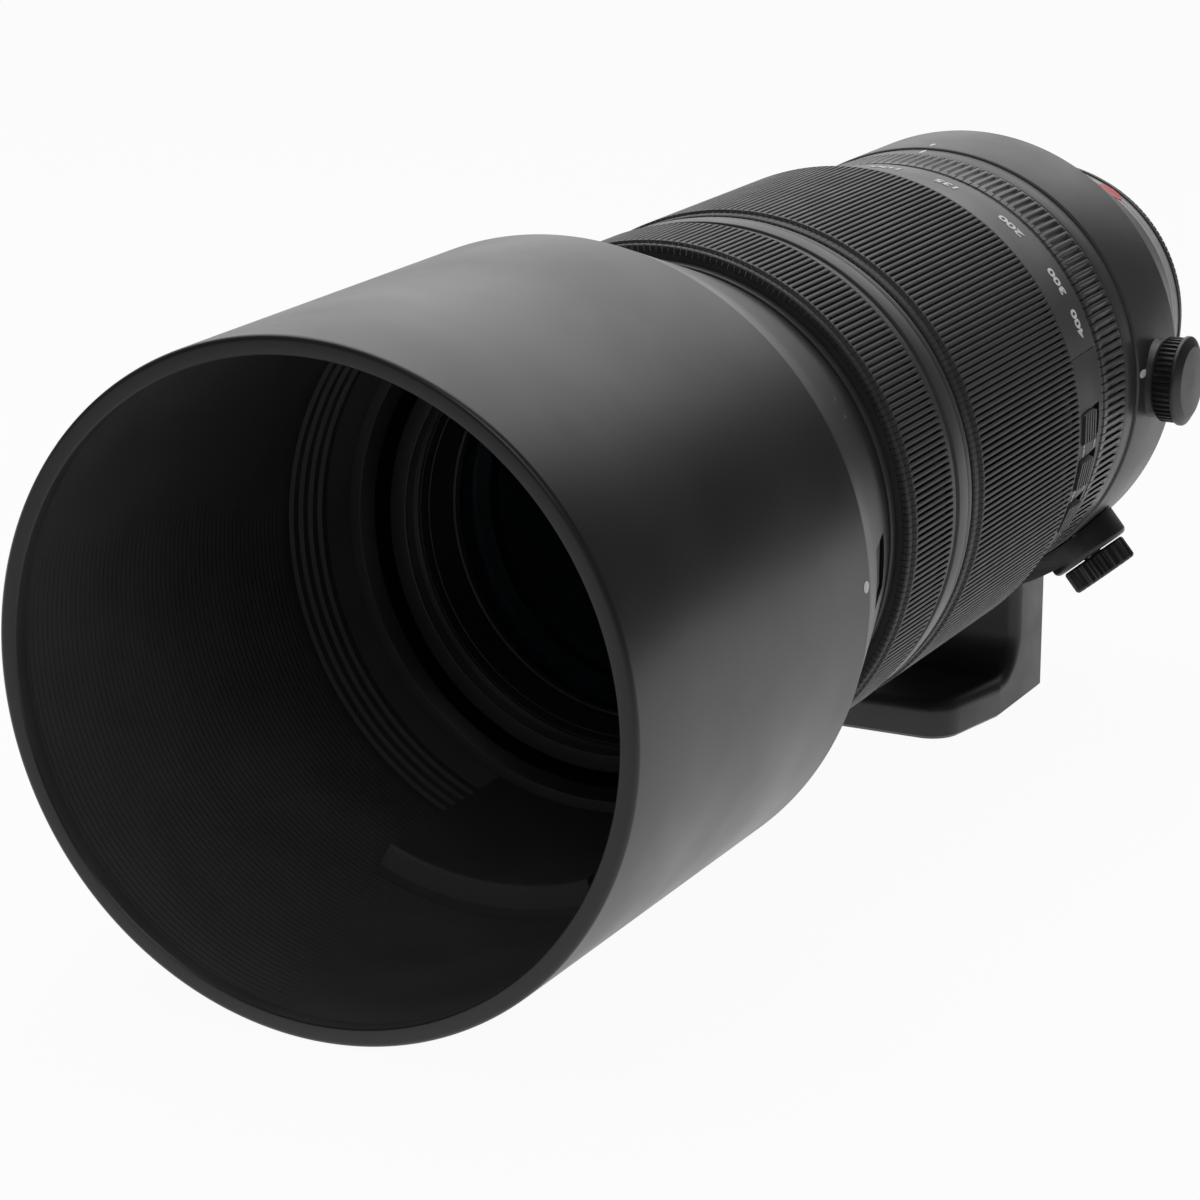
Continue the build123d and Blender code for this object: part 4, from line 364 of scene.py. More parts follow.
def grained(name, dark, light, roughness, grain_size, grain_depth, patch_size=14.0):
    """A painted or moulded finish: fine grain in relief, soft patches in colour and gloss."""
    material, tree, shader = new_material(name, light, roughness)
    place = tree.nodes.new("ShaderNodeTexCoord").outputs["Object"]
    patches = noise_on(tree, place, 1.0 / (patch_size * mm), detail=4.0)
    patch_share = spread_to(tree, patches, 0.0, 1.0)
    two_tone(tree, patch_share, dark, light, shader.inputs["Base Color"])
    gloss = spread_to(tree, patches, roughness - 0.04, roughness + 0.05)
    tree.links.new(gloss, shader.inputs["Roughness"])
    grain = noise_on(tree, place, 1.0 / (grain_size * mm), detail=3.0, roughness=0.6)
    bump_from(tree, grain, grain_depth, shader)
    return material


def turned_metal(name, dark, light, roughness, mark_size, mark_depth):
    """A turned metal: fine rings round the lens axis, in relief and in gloss."""
    material, tree, shader = new_material(name, light, roughness, metallic=1.0)
    place = tree.nodes.new("ShaderNodeTexCoord").outputs["Object"]
    parts = tree.nodes.new("ShaderNodeSeparateXYZ")
    tree.links.new(place, parts.inputs["Vector"])
    flat = tree.nodes.new("ShaderNodeCombineXYZ")
    tree.links.new(parts.outputs["X"], flat.inputs["X"])
    tree.links.new(parts.outputs["Z"], flat.inputs["Y"])
    length = tree.nodes.new("ShaderNodeVectorMath")
    length.operation = "LENGTH"
    tree.links.new(flat.outputs["Vector"], length.inputs[0])
    rings = tree.nodes.new("ShaderNodeCombineXYZ")
    tree.links.new(length.outputs["Value"], rings.inputs["X"])
    tree.links.new(parts.outputs["Y"], rings.inputs["Y"])
    marks = noise_on(tree, rings.outputs["Vector"], 1.0 / (mark_size * mm), detail=3.0)
    mark_share = spread_to(tree, marks, 0.0, 1.0)
    two_tone(tree, mark_share, dark, light, shader.inputs["Base Color"])
    gloss = spread_to(tree, marks, roughness - 0.06, roughness + 0.1)
    tree.links.new(gloss, shader.inputs["Roughness"])
    bump_from(tree, marks, mark_depth, shader)
    return material


def coated_glass(name, tint, reflection):
    """Optical glass: clear inside, with a coloured coating on its faces."""
    material, tree, shader = new_material(name, tint, 0.01, specular=0.6)
    shader.inputs["Transmission Weight"].default_value = 1.0
    shader.inputs["IOR"].default_value = 1.55
    shader.inputs["Coat Weight"].default_value = 0.6
    shader.inputs["Coat Roughness"].default_value = 0.02
    shader.inputs["Coat Tint"].default_value = (*reflection, 1.0)
    facing = tree.nodes.new("ShaderNodeLayerWeight")
    facing.inputs["Blend"].default_value = 0.35
    two_tone(tree, facing.outputs["Facing"], tint, reflection, shader.inputs["Base Color"])
    return material


barrel_coat = grained("barrel_coat", (0.03, 0.03, 0.033), (0.038, 0.038, 0.041), 0.4, 0.22, 0.01)
hood_coat = grained("hood_coat", (0.009, 0.009, 0.01), (0.012, 0.012, 0.013), 0.34, 0.16, 0.006, 26.0)
hood_lining = grained("hood_lining", (0.044, 0.044, 0.048), (0.054, 0.054, 0.059), 0.6, 0.2, 0.02)
foot_coat = grained("foot_coat", (0.011, 0.011, 0.012), (0.015, 0.015, 0.016), 0.42, 0.45, 0.03, 10.0)
ring_rubber = grained("ring_rubber", (0.02, 0.02, 0.021), (0.028, 0.028, 0.029), 0.5, 0.12, 0.01, 5.0)
moulded = grained("moulded_plastic", (0.012, 0.012, 0.013), (0.017, 0.017, 0.018), 0.5, 0.5, 0.025, 12.0)
slider_plastic = grained(
    "slider_plastic", (0.045, 0.045, 0.048), (0.06, 0.06, 0.064), 0.45, 0.3, 0.02, 3.0
)
knob_coat = grained("knob_coat", (0.012, 0.012, 0.013), (0.017, 0.017, 0.018), 0.4, 0.28, 0.02, 8.0)
anodised = grained("anodised_cell", (0.014, 0.014, 0.016), (0.02, 0.02, 0.022), 0.5, 0.12, 0.008)
print_white = grained("print_white", (0.72, 0.72, 0.72), (0.84, 0.84, 0.84), 0.5, 0.1, 0.005, 2.0)
mark_red = grained("mark_red", (0.5, 0.02, 0.025), (0.62, 0.03, 0.035), 0.35, 0.1, 0.004, 2.0)
felt_black = grained("felt_black", (0.01, 0.01, 0.01), (0.02, 0.02, 0.02), 0.95, 0.08, 0.05)
satin_silver = grained("satin_silver", (0.42, 0.42, 0.43), (0.52, 0.52, 0.53), 0.35, 0.2, 0.006, 5.0)
board_green = grained("board_green", (0.015, 0.1, 0.045), (0.03, 0.16, 0.07), 0.4, 0.8, 0.03, 3.0)
mount_steel = turned_metal("mount_steel", (0.56, 0.56, 0.57), (0.7, 0.7, 0.71), 0.26, 0.05, 0.004)
small_steel = turned_metal("small_steel", (0.5, 0.5, 0.51), (0.64, 0.64, 0.65), 0.3, 0.04, 0.003)
brass = turned_metal("brass", (0.62, 0.42, 0.14), (0.78, 0.56, 0.24), 0.3, 0.05, 0.004)
front_glass = coated_glass("front_glass", (0.82, 0.9, 0.88), (0.35, 0.5, 0.62))
inner_glass = coated_glass("inner_glass", (0.86, 0.92, 0.9), (0.5, 0.38, 0.6))

for node_material, node_names in (
    (
        anodised,
        "main_barrel cam_barrel front_lens_cell second_group_cell focus_carriage inner_tube "
        "iris_housing iris_blades stabiliser_base yaw_frame pitch_frame rear_lens_cell rear_baffle",
    ),
    (barrel_coat, "zoom_ring focus_ring"),
    (felt_black, "front_seal"),
    (board_green, "circuit_board"),
    (
        small_steel,
        "motor_magnets guide_rods mount_screws lock_stud foot_stud thread_insert hood_button_spring",
    ),
    (brass, "cam_rollers contact_pins"),
    (inner_glass, "front_doublet second_group_lens focus_lens stabiliser_lens rear_lenses"),
    (mount_steel, "mount_ring"),
    (ring_rubber, "mount_gasket"),
    (moulded, "contact_block"),
):
    for node_name in node_names.split():
        node_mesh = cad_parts[node_name].data
        node_mesh.materials.clear()
        node_mesh.materials.append(node_material)


# Ribbed rings

def ribbed(name, profile, count, land_share, flank_share, teeth, depth, round_drop=0.07):
    """A ring with grooves along the axis, made from one rib that is copied round.

    The land and the flanks are shares of the pitch; teeth is (rear, front) of the grooves.
    """
    pitch = 360.0 / count
    edge = pitch * flank_share * 0.6
    land = pitch * land_share - 2 * edge
    flank = pitch * flank_share
    floor = pitch - land - 2 * edge - 2 * flank
    sectors = ((edge, 1), (land, 1), (edge, 1), (flank, 1), (floor, 1))
    piece = turned(name, profile, sectors, first=90.0)
    outer = max(p[0] for p in profile)
    crest = land + 2 * edge
    slack = pitch * 0.02

    def in_groove(point):
        turn = clock_of(point) - 90.0
        return (
            crest + flank - slack < turn < crest + flank + floor + slack
            and teeth[1] < point.y / mm < teeth[0]
            and reach_of(point) > outer - depth
        )

    def on_edge(point):
        turn = clock_of(point) - 90.0
        return (
            (abs(turn) < slack or abs(turn - crest) < slack)
            and teeth[1] < point.y / mm < teeth[0]
            and reach_of(point) > outer - depth
        )

    for test, drop in ((in_groove, depth), (on_edge, round_drop)):
        choose("VERT", test)
        share = (outer - drop) / outer
        bpy.ops.transform.resize(value=(share, 1, share), center_override=(0, 0, 0))
    select_whole()
    bpy.ops.mesh.spin(
        steps=count - 1,
        dupli=True,
        angle=radians(pitch * (count - 1)),
        center=(0, 0, 0),
        axis=(0, -1, 0),
        use_auto_merge=False,
    )
    return piece


rib_count = 252
rib_depth = 0.75
tooth_slope = 0.45
zoom_lip_width = 2.6
zoom_rear_land = 0.9
focus_lip_width = 1.5
focus_rear_land = 0.8


def grip_profile(rear, front, lip_width, rear_land):
    """Section of a rubber sleeve with a smooth lip at its front, and where its grooves begin and end."""
    tooth_rear = rear - rear_land
    tooth_front = front + lip_width + 0.9
    profile = fillet(
        (grip_bore_radius, rear),
        (grip_radius - 0.25, rear, 0.3),
        (grip_radius, rear - 0.5),
        (grip_radius, tooth_rear),
        (grip_radius, tooth_rear - tooth_slope),
        (grip_radius, tooth_front + tooth_slope),
        (grip_radius, tooth_front),
        (grip_radius, front + lip_width + 0.35, 0.2),
        (lip_radius - 0.35, front + lip_width),
        (lip_radius, front + lip_width - 0.35, 0.2),
        (lip_radius, front, 0.4),
        (grip_bore_radius, front),
    )
    return profile, (tooth_rear - tooth_slope / 2, tooth_front + tooth_slope / 2)


for grip_name, rear, front, lip_width, rear_land, body in (
    ("zoom_grip_rubber", zoom_rear, zoom_front, zoom_lip_width, zoom_rear_land, "zoom_ring"),
    ("focus_grip_rubber", focus_rear, focus_front, focus_lip_width, focus_rear_land, "focus_ring"),
):
    grip_section, grip_teeth = grip_profile(rear, front, lip_width, rear_land)
    grip = ribbed(grip_name, grip_section, rib_count, 0.56, 0.1, grip_teeth, rib_depth)
    close_up(40.0)
    finish(grip, ring_rubber, body, "grip_rubber", grip_name.replace("_rubber", ""))

# Aperture ring
aperture_rib_count = 165
aperture_bore = 42.7
aperture_tooth_rear = aperture_rear - 1.0
aperture_tooth_front = aperture_front + 3.4
aperture_section = fillet(
    (aperture_bore, aperture_rear),
    (aperture_radius, aperture_rear, 0.35),
    (aperture_radius, aperture_tooth_rear),
    (aperture_radius, aperture_tooth_rear - 0.6),
    (aperture_radius, aperture_tooth_front + 0.6),
    (aperture_radius, aperture_tooth_front),
    (aperture_radius, aperture_front + 1.6),
    (aperture_radius - 0.25, aperture_front + 1.4),
    (aperture_radius - 0.25, aperture_front, 0.3),
    (aperture_bore, aperture_front),
)
aperture_ring = ribbed(
    "aperture_ring_ribbed",
    aperture_section,
    aperture_rib_count,
    0.46,
    0.14,
    (aperture_tooth_rear - 0.3, aperture_tooth_front + 0.3),
    0.45,
)
close_up(40.0)
finish(aperture_ring, barrel_coat, "aperture_ring", "barrel_black", "aperture_ring")

# Middle band between the grips, with a bead at each side
band_bore = 43.95
bead_width = 2.2
bead_notch = 0.45
plain_ring(
    "middle_band_turned",
    (
        (band_bore, middle_rear),
        (bead_radius, middle_rear, 0.6),
        (bead_radius, middle_rear - bead_width, 0.5),
        (bead_radius - bead_notch, middle_rear - bead_width - 0.1),
        (bead_radius - bead_notch, middle_rear - bead_width - 0.35),
        (band_radius, middle_rear - bead_width - 0.6, 0.2),
        (band_radius, middle_front + bead_width + 0.6, 0.2),
        (bead_radius - bead_notch, middle_front + bead_width + 0.35),
        (bead_radius - bead_notch, middle_front + bead_width + 0.1),
        (bead_radius, middle_front + bead_width, 0.5),
        (bead_radius, middle_front, 0.6),
        (band_bore, middle_front),
    ),
    barrel_coat,
    "barrel",
    "barrel_black",
    "middle_band",
)

# Number band: a slight cone with a sunk bed for the switch panel
panel_first = 73.0
panel_turn = 48.0
bed_margin = 0.12
bed_depth = 1.1
number_bore = 44.2
number_bed_first = panel_first - bed_margin
number_bed_turn = panel_turn + 2 * bed_margin


def number_radius(y):
    """Outer radius of the number band at a place along the axis."""
    share = (number_rear - y) / (number_rear - number_front)
    return number_rear_radius + (number_front_radius - number_rear_radius) * share


number_band = turned(
    "number_band_turned",
    fillet(
        (number_bore - 1.6, number_rear),
        (number_rear_radius, number_rear, 0.3),
        (number_radius(panel_rear + bed_margin), panel_rear + bed_margin),
        (number_radius(panel_front - bed_margin), panel_front - bed_margin),
        (number_front_radius, number_front, 0.3),
        (number_bore - 1.6, number_front),
    ),
    ((number_bed_turn, 40), (360 - number_bed_turn, 250)),
    first=number_bed_first,
)
choose(
    "FACE",
    lambda p: number_bed_first < clock_of(p) < number_bed_first + number_bed_turn
    and panel_front - bed_margin < p.y / mm < panel_rear + bed_margin
    and reach_of(p) > number_bore,
)
bpy.ops.mesh.extrude_region_shrink_fatten(TRANSFORM_OT_shrink_fatten={"value": -bed_depth * mm})
close_up()
finish(number_band, barrel_coat, "barrel", "barrel_black", "number_band")

# Switch panel: a curved plate with three slots
slot_clocks = (90.0, 101.5, 113.0)
slot_half_turn = 3.9
slot_length = 12.0
panel_proud = 0.25
panel_floor = 44.85
panel_middle = (panel_rear + panel_front) / 2
slot_rear = panel_middle + slot_length / 2
slot_front = panel_middle - slot_length / 2


def panel_radius(y):
    return number_radius(y) + panel_proud


panel_sectors = []
here = panel_first
for slot_clock in slot_clocks:
    panel_sectors += [(slot_clock - slot_half_turn - here, 6), (2 * slot_half_turn, 6)]
    here = slot_clock + slot_half_turn
panel_sectors.append((panel_first + panel_turn - here, 4))
switch_panel = turned(
    "switch_panel_plate",
    (
        (panel_floor, panel_rear),
        (panel_radius(panel_rear), panel_rear),
        (panel_radius(slot_rear), slot_rear),
        (panel_radius(slot_front), slot_front),
        (panel_radius(panel_front), panel_front),
        (panel_floor, panel_front),
        (panel_floor, slot_front),
        (panel_floor, slot_rear),
    ),
    panel_sectors,
    first=panel_first,
)
close_ends()
for slot_clock in slot_clocks:
    choose(
        "FACE",
        lambda p: abs(clock_of(p) - slot_clock) < slot_half_turn
        and slot_front < p.y / mm < slot_rear,
    )
    bpy.ops.mesh.bridge_edge_loops()
close_up()
bevel_modifier(switch_panel, 0.18)
finish(switch_panel, moulded, "barrel", "black_plastic", "switch_panel")

# Switch sliders: one ridged block, copied to the three slots
slider_names = ("focus_range_switch", "stabiliser_switch", "aperture_switch")
slider_low, slider_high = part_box(slider_names[0])
slider_y = (slider_low.y + slider_high.y) / 2 / mm
slider_length = (slider_high.y - slider_low.y) / mm
slider_width = 5.6
slider_foot = 44.9
slider_top = slider_high.x / mm
ridge_count = 5
slider_height = slider_top - slider_foot
slider = stepped_block("slider_block", 4 * ridge_count, slider_width, slider_length, slider_height)
ridge_pitch = slider_length / ridge_count
choose(
    "FACE",
    lambda p: p.z > (slider_height - 0.01) * mm
    and ((p.y / mm + slider_length / 2) % ridge_pitch) > ridge_pitch / 2,
)
bpy.ops.mesh.inset(thickness=0.0001 * mm, depth=-0.35 * mm, use_individual=True)
close_up()
bevel_modifier(slider, 0.12)
for slot_clock, slider_name in zip(slot_clocks, slider_names):
    twin = copy_of(slider, slider_name + "_slider")
    stand(twin, slot_clock, slider_y, slider_foot)
    finish(twin, slider_plastic, slider_name, "black_plastic", slider_name)
bpy.data.objects.remove(slider)

# Rear band and the seat of the tripod collar
plain_ring(
    "rear_barrel_turned",
    (
        (38.5, rear_barrel_rear),
        (collar_seat_radius, rear_barrel_rear),
        (collar_seat_radius, collar_front - 0.3),
        (rear_band_radius, collar_front - 0.3, 0.35),
        (rear_band_radius, rear_barrel_front, 0.3),
        (42.45, rear_barrel_front),
        (42.45, collar_front + 0.6),
        (38.5, collar_front + 0.6),
    ),
    barrel_coat,
    "barrel",
    "barrel_black",
    "rear_barrel",
)

# Rear cover: the taper behind the collar
skirt_front = -9.0
skirt_radius = 31.8
skirt_bore = 30.0
mount_bore = 23.5
mount_flange = 3.2
seam_y = -3.95
seam_depth = 0.25
notch_length = 1.6
notch_root = 0.3
plain_ring(
    "rear_cover_turned",
    (
        (38.45, cover_front),
        (38.45, cover_front + 4.0),
        (41.0, cover_front + 4.0, 0.6),
        (37.5, -24.0, 6.0),
        (33.3, skirt_front, 0.5),
        (skirt_bore, skirt_front),
        (35.7, -24.0),
        (36.7, cover_front + 4.0),
        (36.7, cover_front),
    ),
    barrel_coat,
    "barrel",
    "barrel_black",
    "rear_cover",
)

# Bright skirt of the mount with dark notches along its front edge
plain_ring(
    "mount_skirt",
    (
        (skirt_bore, skirt_front),
        (skirt_radius, skirt_front),
        (skirt_radius, seam_y - 0.35),
        (skirt_radius - seam_depth, seam_y - 0.15),
        (skirt_radius - seam_depth, seam_y + 0.15),
        (skirt_radius, seam_y + 0.35),
        (skirt_radius, cover_rear, 0.3),
        (mount_bore, cover_rear),
        (mount_bore, cover_rear - mount_flange),
        (skirt_bore, cover_rear - mount_flange),
    ),
    satin_silver,
    "barrel",
    "barrel_black",
)
plain_ring(
    "mount_seal",
    (
        (skirt_radius + 0.02, cover_rear),
        (skirt_radius + 0.3, cover_rear, 0.1),
        (skirt_radius + 0.1, 0.2, 0.05),
        (skirt_radius + 0.02, 0.0),
    ),
    ring_rubber,
    "barrel",
    "grip_rubber",
    "mount_gasket",
)
notch_reach = skirt_radius + 0.06
for i, (notch_clock, notch_turn) in enumerate(
    ((42.0, 1.6), (50.0, 1.4), (54.0, 4.4), (60.0, 1.2), (74.0, 2.4), (82.0, 2.2), (88.0, 2.0))
):
    notch = capped(
        f"skirt_notch_{i}",
        [
            Vector((skirt_radius - notch_root, skirt_front + 0.02)),
            Vector((notch_reach, skirt_front + 0.02)),
            Vector((notch_reach, skirt_front + notch_length)),
            Vector((skirt_radius - notch_root, skirt_front + notch_length)),
        ],
        notch_clock - notch_turn / 2,
        notch_turn,
        4,
    )
    close_up()
    finish(notch, moulded, "barrel", "barrel_black")

# Front barrel: the moving tube, the front ring and the nose with its filter thread
tube_bore = 39.6
tube_radius = 40.8
nose_radius = 41.9
rim_radius = 41.3
filter_bore = 38.1
cell_seat = 37.6
front_ring_rear = focus_front - 0.5
front_ring_front = front_ring_rear - 1.85
thread_pitch = 0.75
thread_count = 4
thread_points = []
for i in range(thread_count):
    thread_points.append((filter_bore, rim_front + 0.3 + thread_pitch * i))
    thread_points.append((filter_bore + 0.4, rim_front + 0.3 + thread_pitch * (i + 0.5)))
front_barrel = turned(
    "front_barrel_turned",
    fillet(
        (tube_bore, barrel_rear),
        (tube_radius, barrel_rear, 0.3),
        (tube_radius, front_ring_rear),
        (front_ring_radius, front_ring_rear, 0.3),
        (front_ring_radius, front_ring_front, 0.3),
        (nose_radius, front_ring_front),
        (nose_radius, rim_front + 4.5, 1.5),
        (rim_radius, rim_front, 0.35),
        (filter_bore, rim_front, 0.2),
    )
    + [Vector(p) for p in thread_points]
    + fillet(
        (cell_seat, rim_front + 3.6),
        (cell_seat, rim_front + 34.0),
        (tube_bore, rim_front + 34.0),
    ),
)
close_up()
lug_first = (-20.0, 100.0, 220.0)
lug_rear = front_ring_front - 7.6
lug_turn = 40.0
nose_lug_radius = 43.1
nose_lug_width = 2.4
hood_lug_radius = 42.3
hood_lug_width = 2.2
hood_lug_gap = 0.5
lug_root = 0.3


def lugs(name, root_radius, edge_radius, rear, width):
    """Three lugs round a nose or in a bore, a third of a turn apart."""
    section = fillet(
        (root_radius, rear),
        (edge_radius, rear, 0.2),
        (edge_radius, rear - width, 0.2),
        (root_radius, rear - width),
    )
    pieces = []
    for i, angle in enumerate(lug_first):
        pieces.append(capped(f"{name}_{i}", section, angle, lug_turn, 32))
        close_up()
    return pieces


nose_lugs = lugs("nose_lug", nose_radius - lug_root, nose_lug_radius, lug_rear, nose_lug_width)
front_barrel = join(front_barrel, *nose_lugs)
finish(front_barrel, barrel_coat, "front_group", "barrel_black", "front_barrel")

# Retaining ring: a stepped cone in front of the glass
ring_rear, ring_front = ends("retaining_ring")
plain_ring(
    "retaining_ring_turned",
    (
        (37.55, ring_rear),
        (37.55, ring_front, 0.1),
        (37.1, ring_front, 0.1),
        (36.5, ring_front + 1.7),
        (36.3, ring_front + 1.75),
        (35.0, ring_front + 5.9),
        (34.9, ring_front + 6.3, 0.15),
        (34.9, ring_front + 7.6),
        (34.4, ring_front + 7.7, 0.15),
        (34.4, ring_rear),
    ),
    anodised,
    "front_group",
    "cell_black",
    "retaining_ring",
)


# Front glass: a domed disc with fine steps
def dome(radius, sag, at):
    """Height of a round surface over its edge at a radius, for a dome of this sag."""
    curve = (radius**2 + sag**2) / (2 * abs(sag))
    return (sqrt(curve**2 - at**2) - curve + abs(sag)) * sag / abs(sag)


glass_front = ends("front_lens")[1]
glass_radius = 36.0
glass_sag = 4.6
glass_edge = 5.0
glass_rings = 14
glass_front_edge = glass_front + glass_sag
glass_points = []
for i in range(glass_rings + 1):
    at = glass_radius * i / glass_rings
    glass_points.append((at, glass_front_edge - dome(glass_radius, glass_sag, at)))
for i in range(glass_rings, -1, -1):
    at = glass_radius * i / glass_rings
    glass_points.append((at, glass_front_edge + glass_edge + dome(glass_radius, -1.0, at)))
front_lens = turned("front_lens_glass", glass_points, ((360.0, 96),), closed=False)
close_up()
finish(front_lens, front_glass, "front_group", "optical_glass", "front_lens")

# Hood: a long straight mouth on a taper, ribbed inside
hood_radius = 55.0
hood_bore = 53.5
hood_rear_radius = 44.4
hood_rear_bore = 43.7
hood_lip = 51.9
taper_y = hood_rear - 33.3
annulus_y = hood_rear - 23.2
band_y = hood_rear - 26.6
window_front = annulus_y - 10.6
window_first = 165.0
window_turn = 30.0
button_y = -205.5
button_half_length = 6.25
button_half_turn = 5.8
button_floor = 44.65
liner_pitch = 1.3
liner_height = 0.28
liner_front = hood_mouth + 4.4
liner_count = int((window_front - 1.2 - liner_front) / liner_pitch)
groove_count = 4


def hood_outside(y):
    """Outer radius of the hood's taper at a place along the axis."""
    return hood_rear_radius + (hood_radius - hood_rear_radius) * (hood_rear - y) / (hood_rear - taper_y)


hood_profile = fillet(
    (hood_rear_bore, hood_rear),
    (hood_rear_radius, hood_rear, 0.25),
    (hood_outside(button_y + button_half_length), button_y + button_half_length),
    (hood_outside(button_y - button_half_length), button_y - button_half_length),
    (hood_outside(annulus_y), annulus_y),
    (hood_radius - 0.16, taper_y + 0.5),
    (hood_radius - 0.14, taper_y + 0.12),
    (hood_radius, taper_y),
    (hood_radius, window_front),
    (hood_radius, hood_mouth + 20.0),
    (hood_radius, hood_mouth, 0.9),
    (hood_lip, hood_mouth, 0.5),
    (hood_lip, hood_mouth + 2.6, 0.3),
    (hood_bore, hood_mouth + 4.2),
)
for i in range(liner_count):
    start = liner_front + liner_pitch * i
    hood_profile.append(Vector((hood_bore, start)))
    hood_profile.append(Vector((hood_bore - liner_height, start + liner_pitch * 0.6)))
hood_profile.append(Vector((hood_bore, window_front)))
groove_run = (band_y - window_front) / groove_count
groove_rise = (hood_bore - 50.2) / groove_count
for i in range(groove_count):
    start = window_front + groove_run * i
    radius = hood_bore - groove_rise * i
    hood_profile.append(Vector((radius - groove_rise * 0.95, start + groove_run * 0.15)))
    hood_profile.append(Vector((radius - groove_rise, start + groove_run)))
hood_profile += fillet(
    (50.2, annulus_y, 0.4),
    (45.6, annulus_y, 0.3),
    (hood_rear_bore, annulus_y + 1.9),
)
hood_first = 90.0 - button_half_turn
hood = turned(
    "hood_shell",
    hood_profile,
    (
        (2 * button_half_turn, 10),
        (window_first - 90.0 - button_half_turn, 58),
        (window_turn, 26),
        (360.0 + hood_first - window_first - window_turn, 206),
    ),
    first=hood_first,
)
select_whole()
bpy.ops.mesh.remove_doubles(threshold=merge_gap * mm)
bpy.ops.mesh.normals_make_consistent(inside=False)
choose(
    "FACE",
    lambda p: abs(clock_of(p) - 90.0) < button_half_turn
    and abs(p.y / mm - button_y) < button_half_length
    and reach_of(p) > button_floor,
)
sink((-2.0 * mm, 0, 0))
bpy.ops.transform.resize(value=(0, 1, 1), center_override=(button_floor * mm, 0, 0))
choose(
    "FACE",
    lambda p: window_first < clock_of(p) < window_first + window_turn
    and window_front < p.y / mm < annulus_y - 0.01
    and reach_of(p) > 49.0,
)
bpy.ops.mesh.bridge_edge_loops()
close_up(28.0)
hood_lugs = lugs(
    "hood_lug",
    hood_rear_bore + lug_root,
    hood_lug_radius,
    lug_rear + hood_lug_gap + hood_lug_width,
    hood_lug_width,
)

# Housing over the window's cover, inside the hood
pocket_front = hood_rear - 62.7
pocket = capped(
    "window_pocket",
    fillet(
        (53.7, pocket_front),
        (53.7, window_front),
        (51.5, window_front),
        (51.5, pocket_front + 1.6),
        (48.9, pocket_front + 1.6),
        (48.9, annulus_y - 0.3),
        (47.7, annulus_y - 0.3),
        (47.7, pocket_front + 1.2, 0.8),
        (51.4, pocket_front, 0.6),
    ),
    157.5,
    45.0,
    36,
)
close_up()
hood = join(hood, pocket, *hood_lugs)
finish(hood, hood_coat, "hood", "black_plastic", "hood")
hood.data.materials.append(hood_lining)
for face in hood.data.polygons:
    middle = face.center
    inside = reach_of(middle) < hood_bore + 0.05 and middle.y / mm < annulus_y + 0.2
    outward = face.normal.dot(Vector((middle.x, 0, middle.z)).normalized())
    if inside and outward < 0.3 and middle.y / mm > hood_mouth + 0.2:
        face.material_index = 1

# Hood button and window cover
button_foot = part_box("hood_button")[0].x / mm
button_width = 9.0
button_length = 12.0
button_height = 1.9
button_sunk = 0.75
button = stepped_block("hood_button_block", 14, button_width, button_length, button_height)
mesh = bmesh.from_edit_mesh(button.data)
for corner in mesh.verts:
    if corner.co.z > mm:
        rise = hood_outside(button_y + corner.co.y / mm) - button_sunk - button_foot
        corner.co.z = rise * mm
bmesh.update_edit_mesh(button.data)
choose(
    "FACE",
    lambda p: p.z > 0.2 * mm
    and abs(p.x) < mm
    and abs(p.y) < 4.4 * mm
    and int(p.y / mm + 20.4) % 2 == 0,
)
bpy.ops.mesh.inset(thickness=0.05 * mm, depth=-0.3 * mm, use_individual=True)
close_up()
bevel_modifier(button, 0.2)
stand(button, 90.0, button_y, button_foot)
finish(button, moulded, "hood_button", "black_plastic", "hood_button")

cover_low, cover_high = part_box("hood_window")
window_cover = capped(
    "hood_window_cover",
    fillet(
        (49.2, cover_high.y / mm),
        (50.6, cover_high.y / mm, 0.3),
        (50.6, cover_low.y / mm, 0.3),
        (49.2, cover_low.y / mm),
    ),
    160.0,
    40.0,
    32,
)
close_up()
cover_ridges = []
ridge_width = 0.8
for i in range(4):
    ridge_rear = cover_high.y / mm - ridge_width * (2 * i + 3)
    ridge_front = ridge_rear - ridge_width
    ridge = capped(
        f"cover_ridge_{i}",
        fillet(
            (50.2, ridge_rear),
            (51.3, ridge_rear, 0.25),
            (51.3, ridge_front, 0.25),
            (50.2, ridge_front),
        ),
        172.5,
        15.0,
        16,
    )
    close_up()
    cover_ridges.append(ridge)
window_cover = join(window_cover, *cover_ridges)
finish(window_cover, moulded, "hood_window", "black_plastic", "hood_window")

# Tripod collar with the boss of the lock knob
boss_y = (collar_front + collar_rear) / 2
boss_radius = 7.9
boss_reach = 46.0
collar = turned(
    "tripod_collar_turned",
    fillet(
        (collar_bore_radius, collar_rear),
        (collar_radius, collar_rear, 0.7),
        (collar_radius, collar_front, 0.5),
        (collar_bore_radius, collar_front),
    ),
)
close_up()
boss = lathe(
    "collar_boss",
    [
        (0, 0),
        (boss_radius + 1.2, 0),
        (boss_radius + 0.2, 1.2),
        (boss_radius, 2.0),
        (boss_radius, 3.3),
        (boss_radius - 0.4, boss_reach - 42.3),
        (0, boss_reach - 42.3),
    ],
    72,
)
close_up()
stand(boss, 90.0, boss_y, 42.3)
collar = join(collar, boss)
finish(collar, barrel_coat, "collar", "barrel_black", "tripod_collar")

# Lock knob: a ribbed wall under a chamfered head
knob_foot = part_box("lock_knob")[0].x / mm
knob_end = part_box("lock_knob")[1].x / mm
knob_height = knob_end - knob_foot
waist_radius = 6.7
head_radius = 8.95
wall_radius = 8.55
head_height = 2.4
wall_top = knob_height - head_height
wall_bottom = wall_top - 3.4
flute_count = 44


